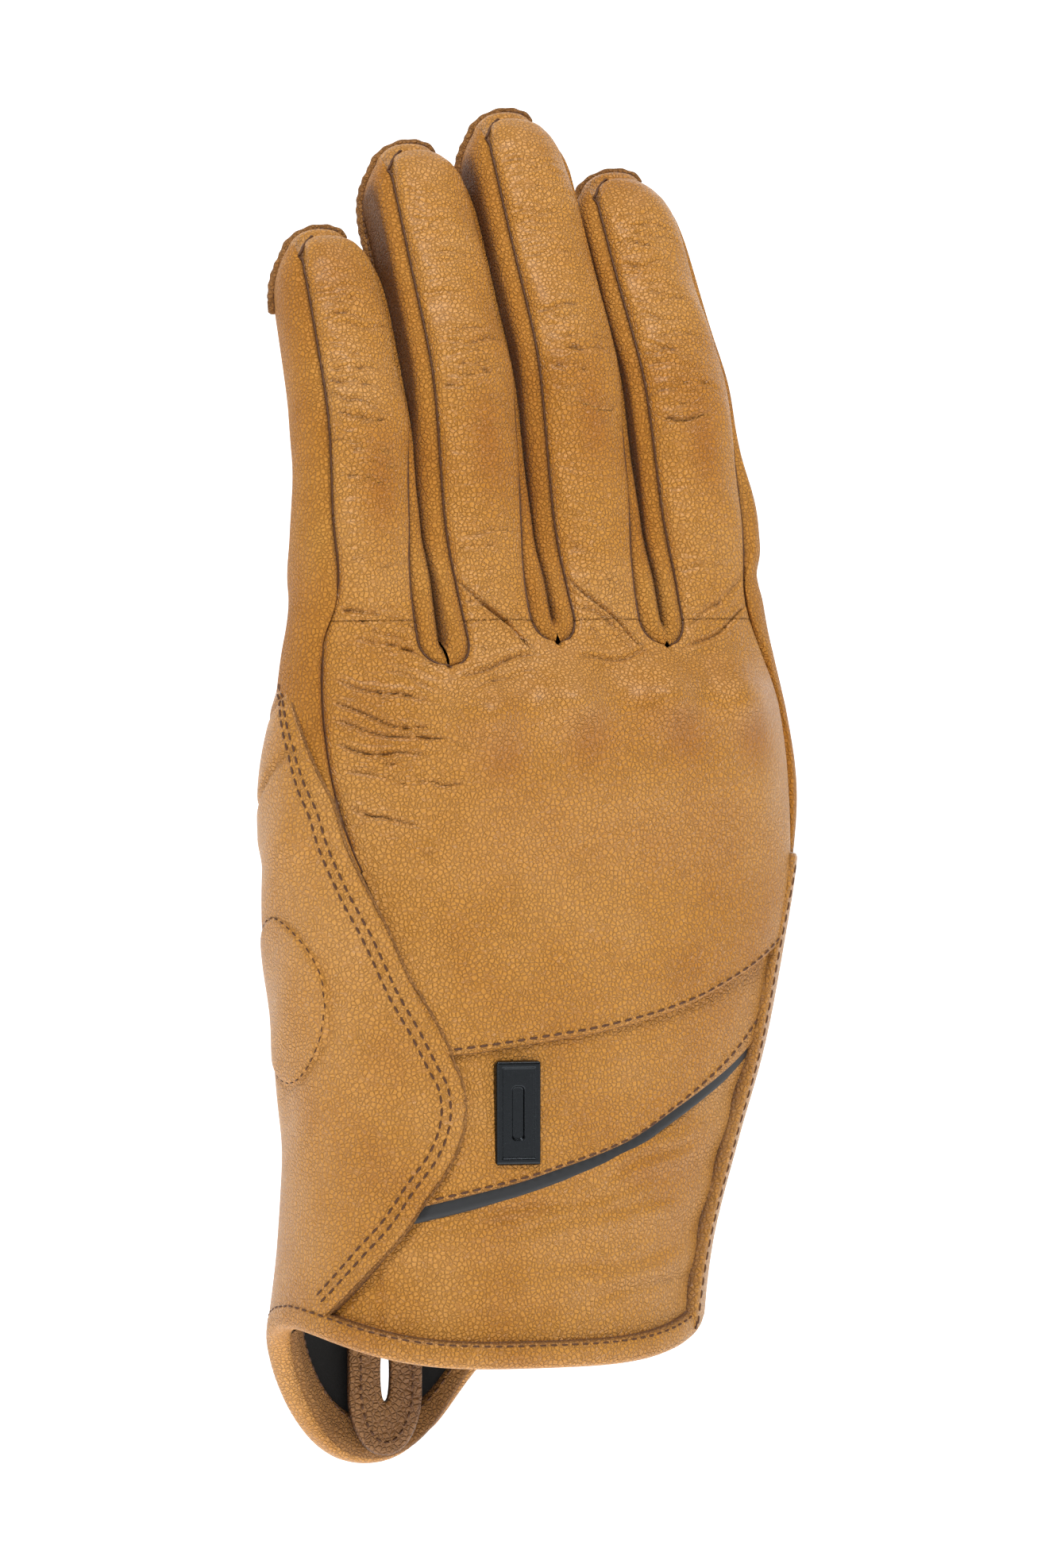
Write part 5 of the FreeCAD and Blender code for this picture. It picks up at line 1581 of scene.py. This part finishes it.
# ---------------------------------------------------------------- wrist strap
def strap():
    """The wrist strap round the palm side, its hook patch, and the loop patch under it."""
    for name, node, a, b, z0, z1, lift, thick, material, body, slot in (
            ("strap_loop_patch_pile", "strap_loop_patch", 283.0, 308.0, 35.0, 50.0, 0.4, 0.8,
             HOOK, "hand", "hook_loop"),
            ("strap_hook_patch_hooks", "strap_hook_patch", 283.0, 308.0, 35.0, 50.0, 1.6, 0.8,
             HOOK, "strap", "hook_loop"),
            ("wrist_strap_leather", "wrist_strap", 256.0, 351.0, 33.0, 52.0, 2.7, 1.9, TAN,
             "strap", "tan_leather")):
        angle = np.linspace(a, b, 120)[None, :]
        z = np.linspace(z0, z1, 30)[:, None]
        mid, half = (z0 + z1) / 2, (z1 - z0) / 2
        end = smooth(angle, b - 9.0, b)
        z = mid + (z - mid) * np.sqrt(np.clip(1 - (end * 0.93) ** 2, 0, 1))
        angles = angle + 0 * z
        rim = half - np.abs(z - mid)
        points = hand(angles, z, lift)
        out = hand_out(points.reshape(-1, 3)).reshape(points.shape)
        top = points + out * (thick * rounded(rim, 1.2))[..., None]
        item = make_mesh(name, top, grid_faces(*angles.shape), material, body)
        fix_outward(item)
        thicken(item, 0.6)
        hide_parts(node)


strap()


# ---------------------------------------------------------------- stage, light and camera
def stage():
    """A plain pale floor well below the glove that sweeps up behind it, and soft lights."""
    floor_z = CAD_BOX[0][2] - 0.30
    turn = np.radians(np.linspace(0.0, 90.0, 25))
    y = np.concatenate([[-9.0], 3.4 + 0.8 * np.sin(turn), [4.2]])
    z = np.concatenate([[0.0], 0.8 - 0.8 * np.cos(turn), [5.0]]) + floor_z
    rows = np.stack([0 * y, y, z], -1)
    sweep = np.stack([rows + [-14.0, 0.0, 0.0], rows + [14.0, 0.0, 0.0]], 1)
    paper = plain_material("studio_paper_white_lit", "#F4F4F4", 0.9, noise=20.0)
    shader = paper.node_tree.nodes["Principled BSDF"]
    shader.inputs["Emission Color"].default_value = (1.0, 1.0, 1.0, 1.0)
    shader.inputs["Emission Strength"].default_value = 0.86
    data = smooth_mesh("floor", sweep.reshape(-1, 3), grid_faces(len(y), 2).tolist())
    put_in_scene("floor", data, paper)
    bpy.context.scene.view_settings.view_transform = "Standard"
    world = bpy.data.worlds.new("studio")
    bpy.context.scene.world = world
    world.use_nodes = True
    world.node_tree.nodes["Background"].inputs["Color"].default_value = (1, 1, 1, 1)
    world.node_tree.nodes["Background"].inputs["Strength"].default_value = 0.12
    for name, place, power, size in (("key", (-0.20, -0.66, 1.24), 12.0, 0.34),
                                     ("fill", (-1.1, -0.9, 0.3), 0.5, 1.0),
                                     ("top", (0.5, -0.1, 1.3), 3.0, 0.45)):
        lamp = bpy.data.lights.new(name, "AREA")
        lamp.energy = power
        lamp.size = size
        item = bpy.data.objects.new(name, lamp)
        item.location = place
        aim = Vector((0.01, 0.0, 0.11)) - Vector(place)
        item.rotation_euler = aim.to_track_quat("-Z", "Y").to_euler()
        bpy.context.scene.collection.objects.link(item)


YAW, CAMERA_UP = -24.0, 1.5   # degrees
DISTANCE, LENS = 2.30, 267.0  # metres, millimetres


def camera():
    """The camera, 24 degrees to the little-finger side and a little above the middle."""
    yaw, up = np.radians(YAW), np.radians(CAMERA_UP)
    target = np.array([0.0095, 0.004, 0.1123])
    away = np.array([np.sin(yaw) * np.cos(up), -np.cos(yaw) * np.cos(up), np.sin(up)])
    data = bpy.data.cameras.new("camera")
    data.lens = LENS
    data.sensor_fit = "VERTICAL"
    data.sensor_height = 36.0
    item = bpy.data.objects.new("camera", data)
    item.location = Vector(target + away * DISTANCE)
    item.rotation_euler = Vector(-away).to_track_quat("-Z", "Y").to_euler()
    bpy.context.scene.collection.objects.link(item)
    bpy.context.scene.camera = item


stage()
camera()
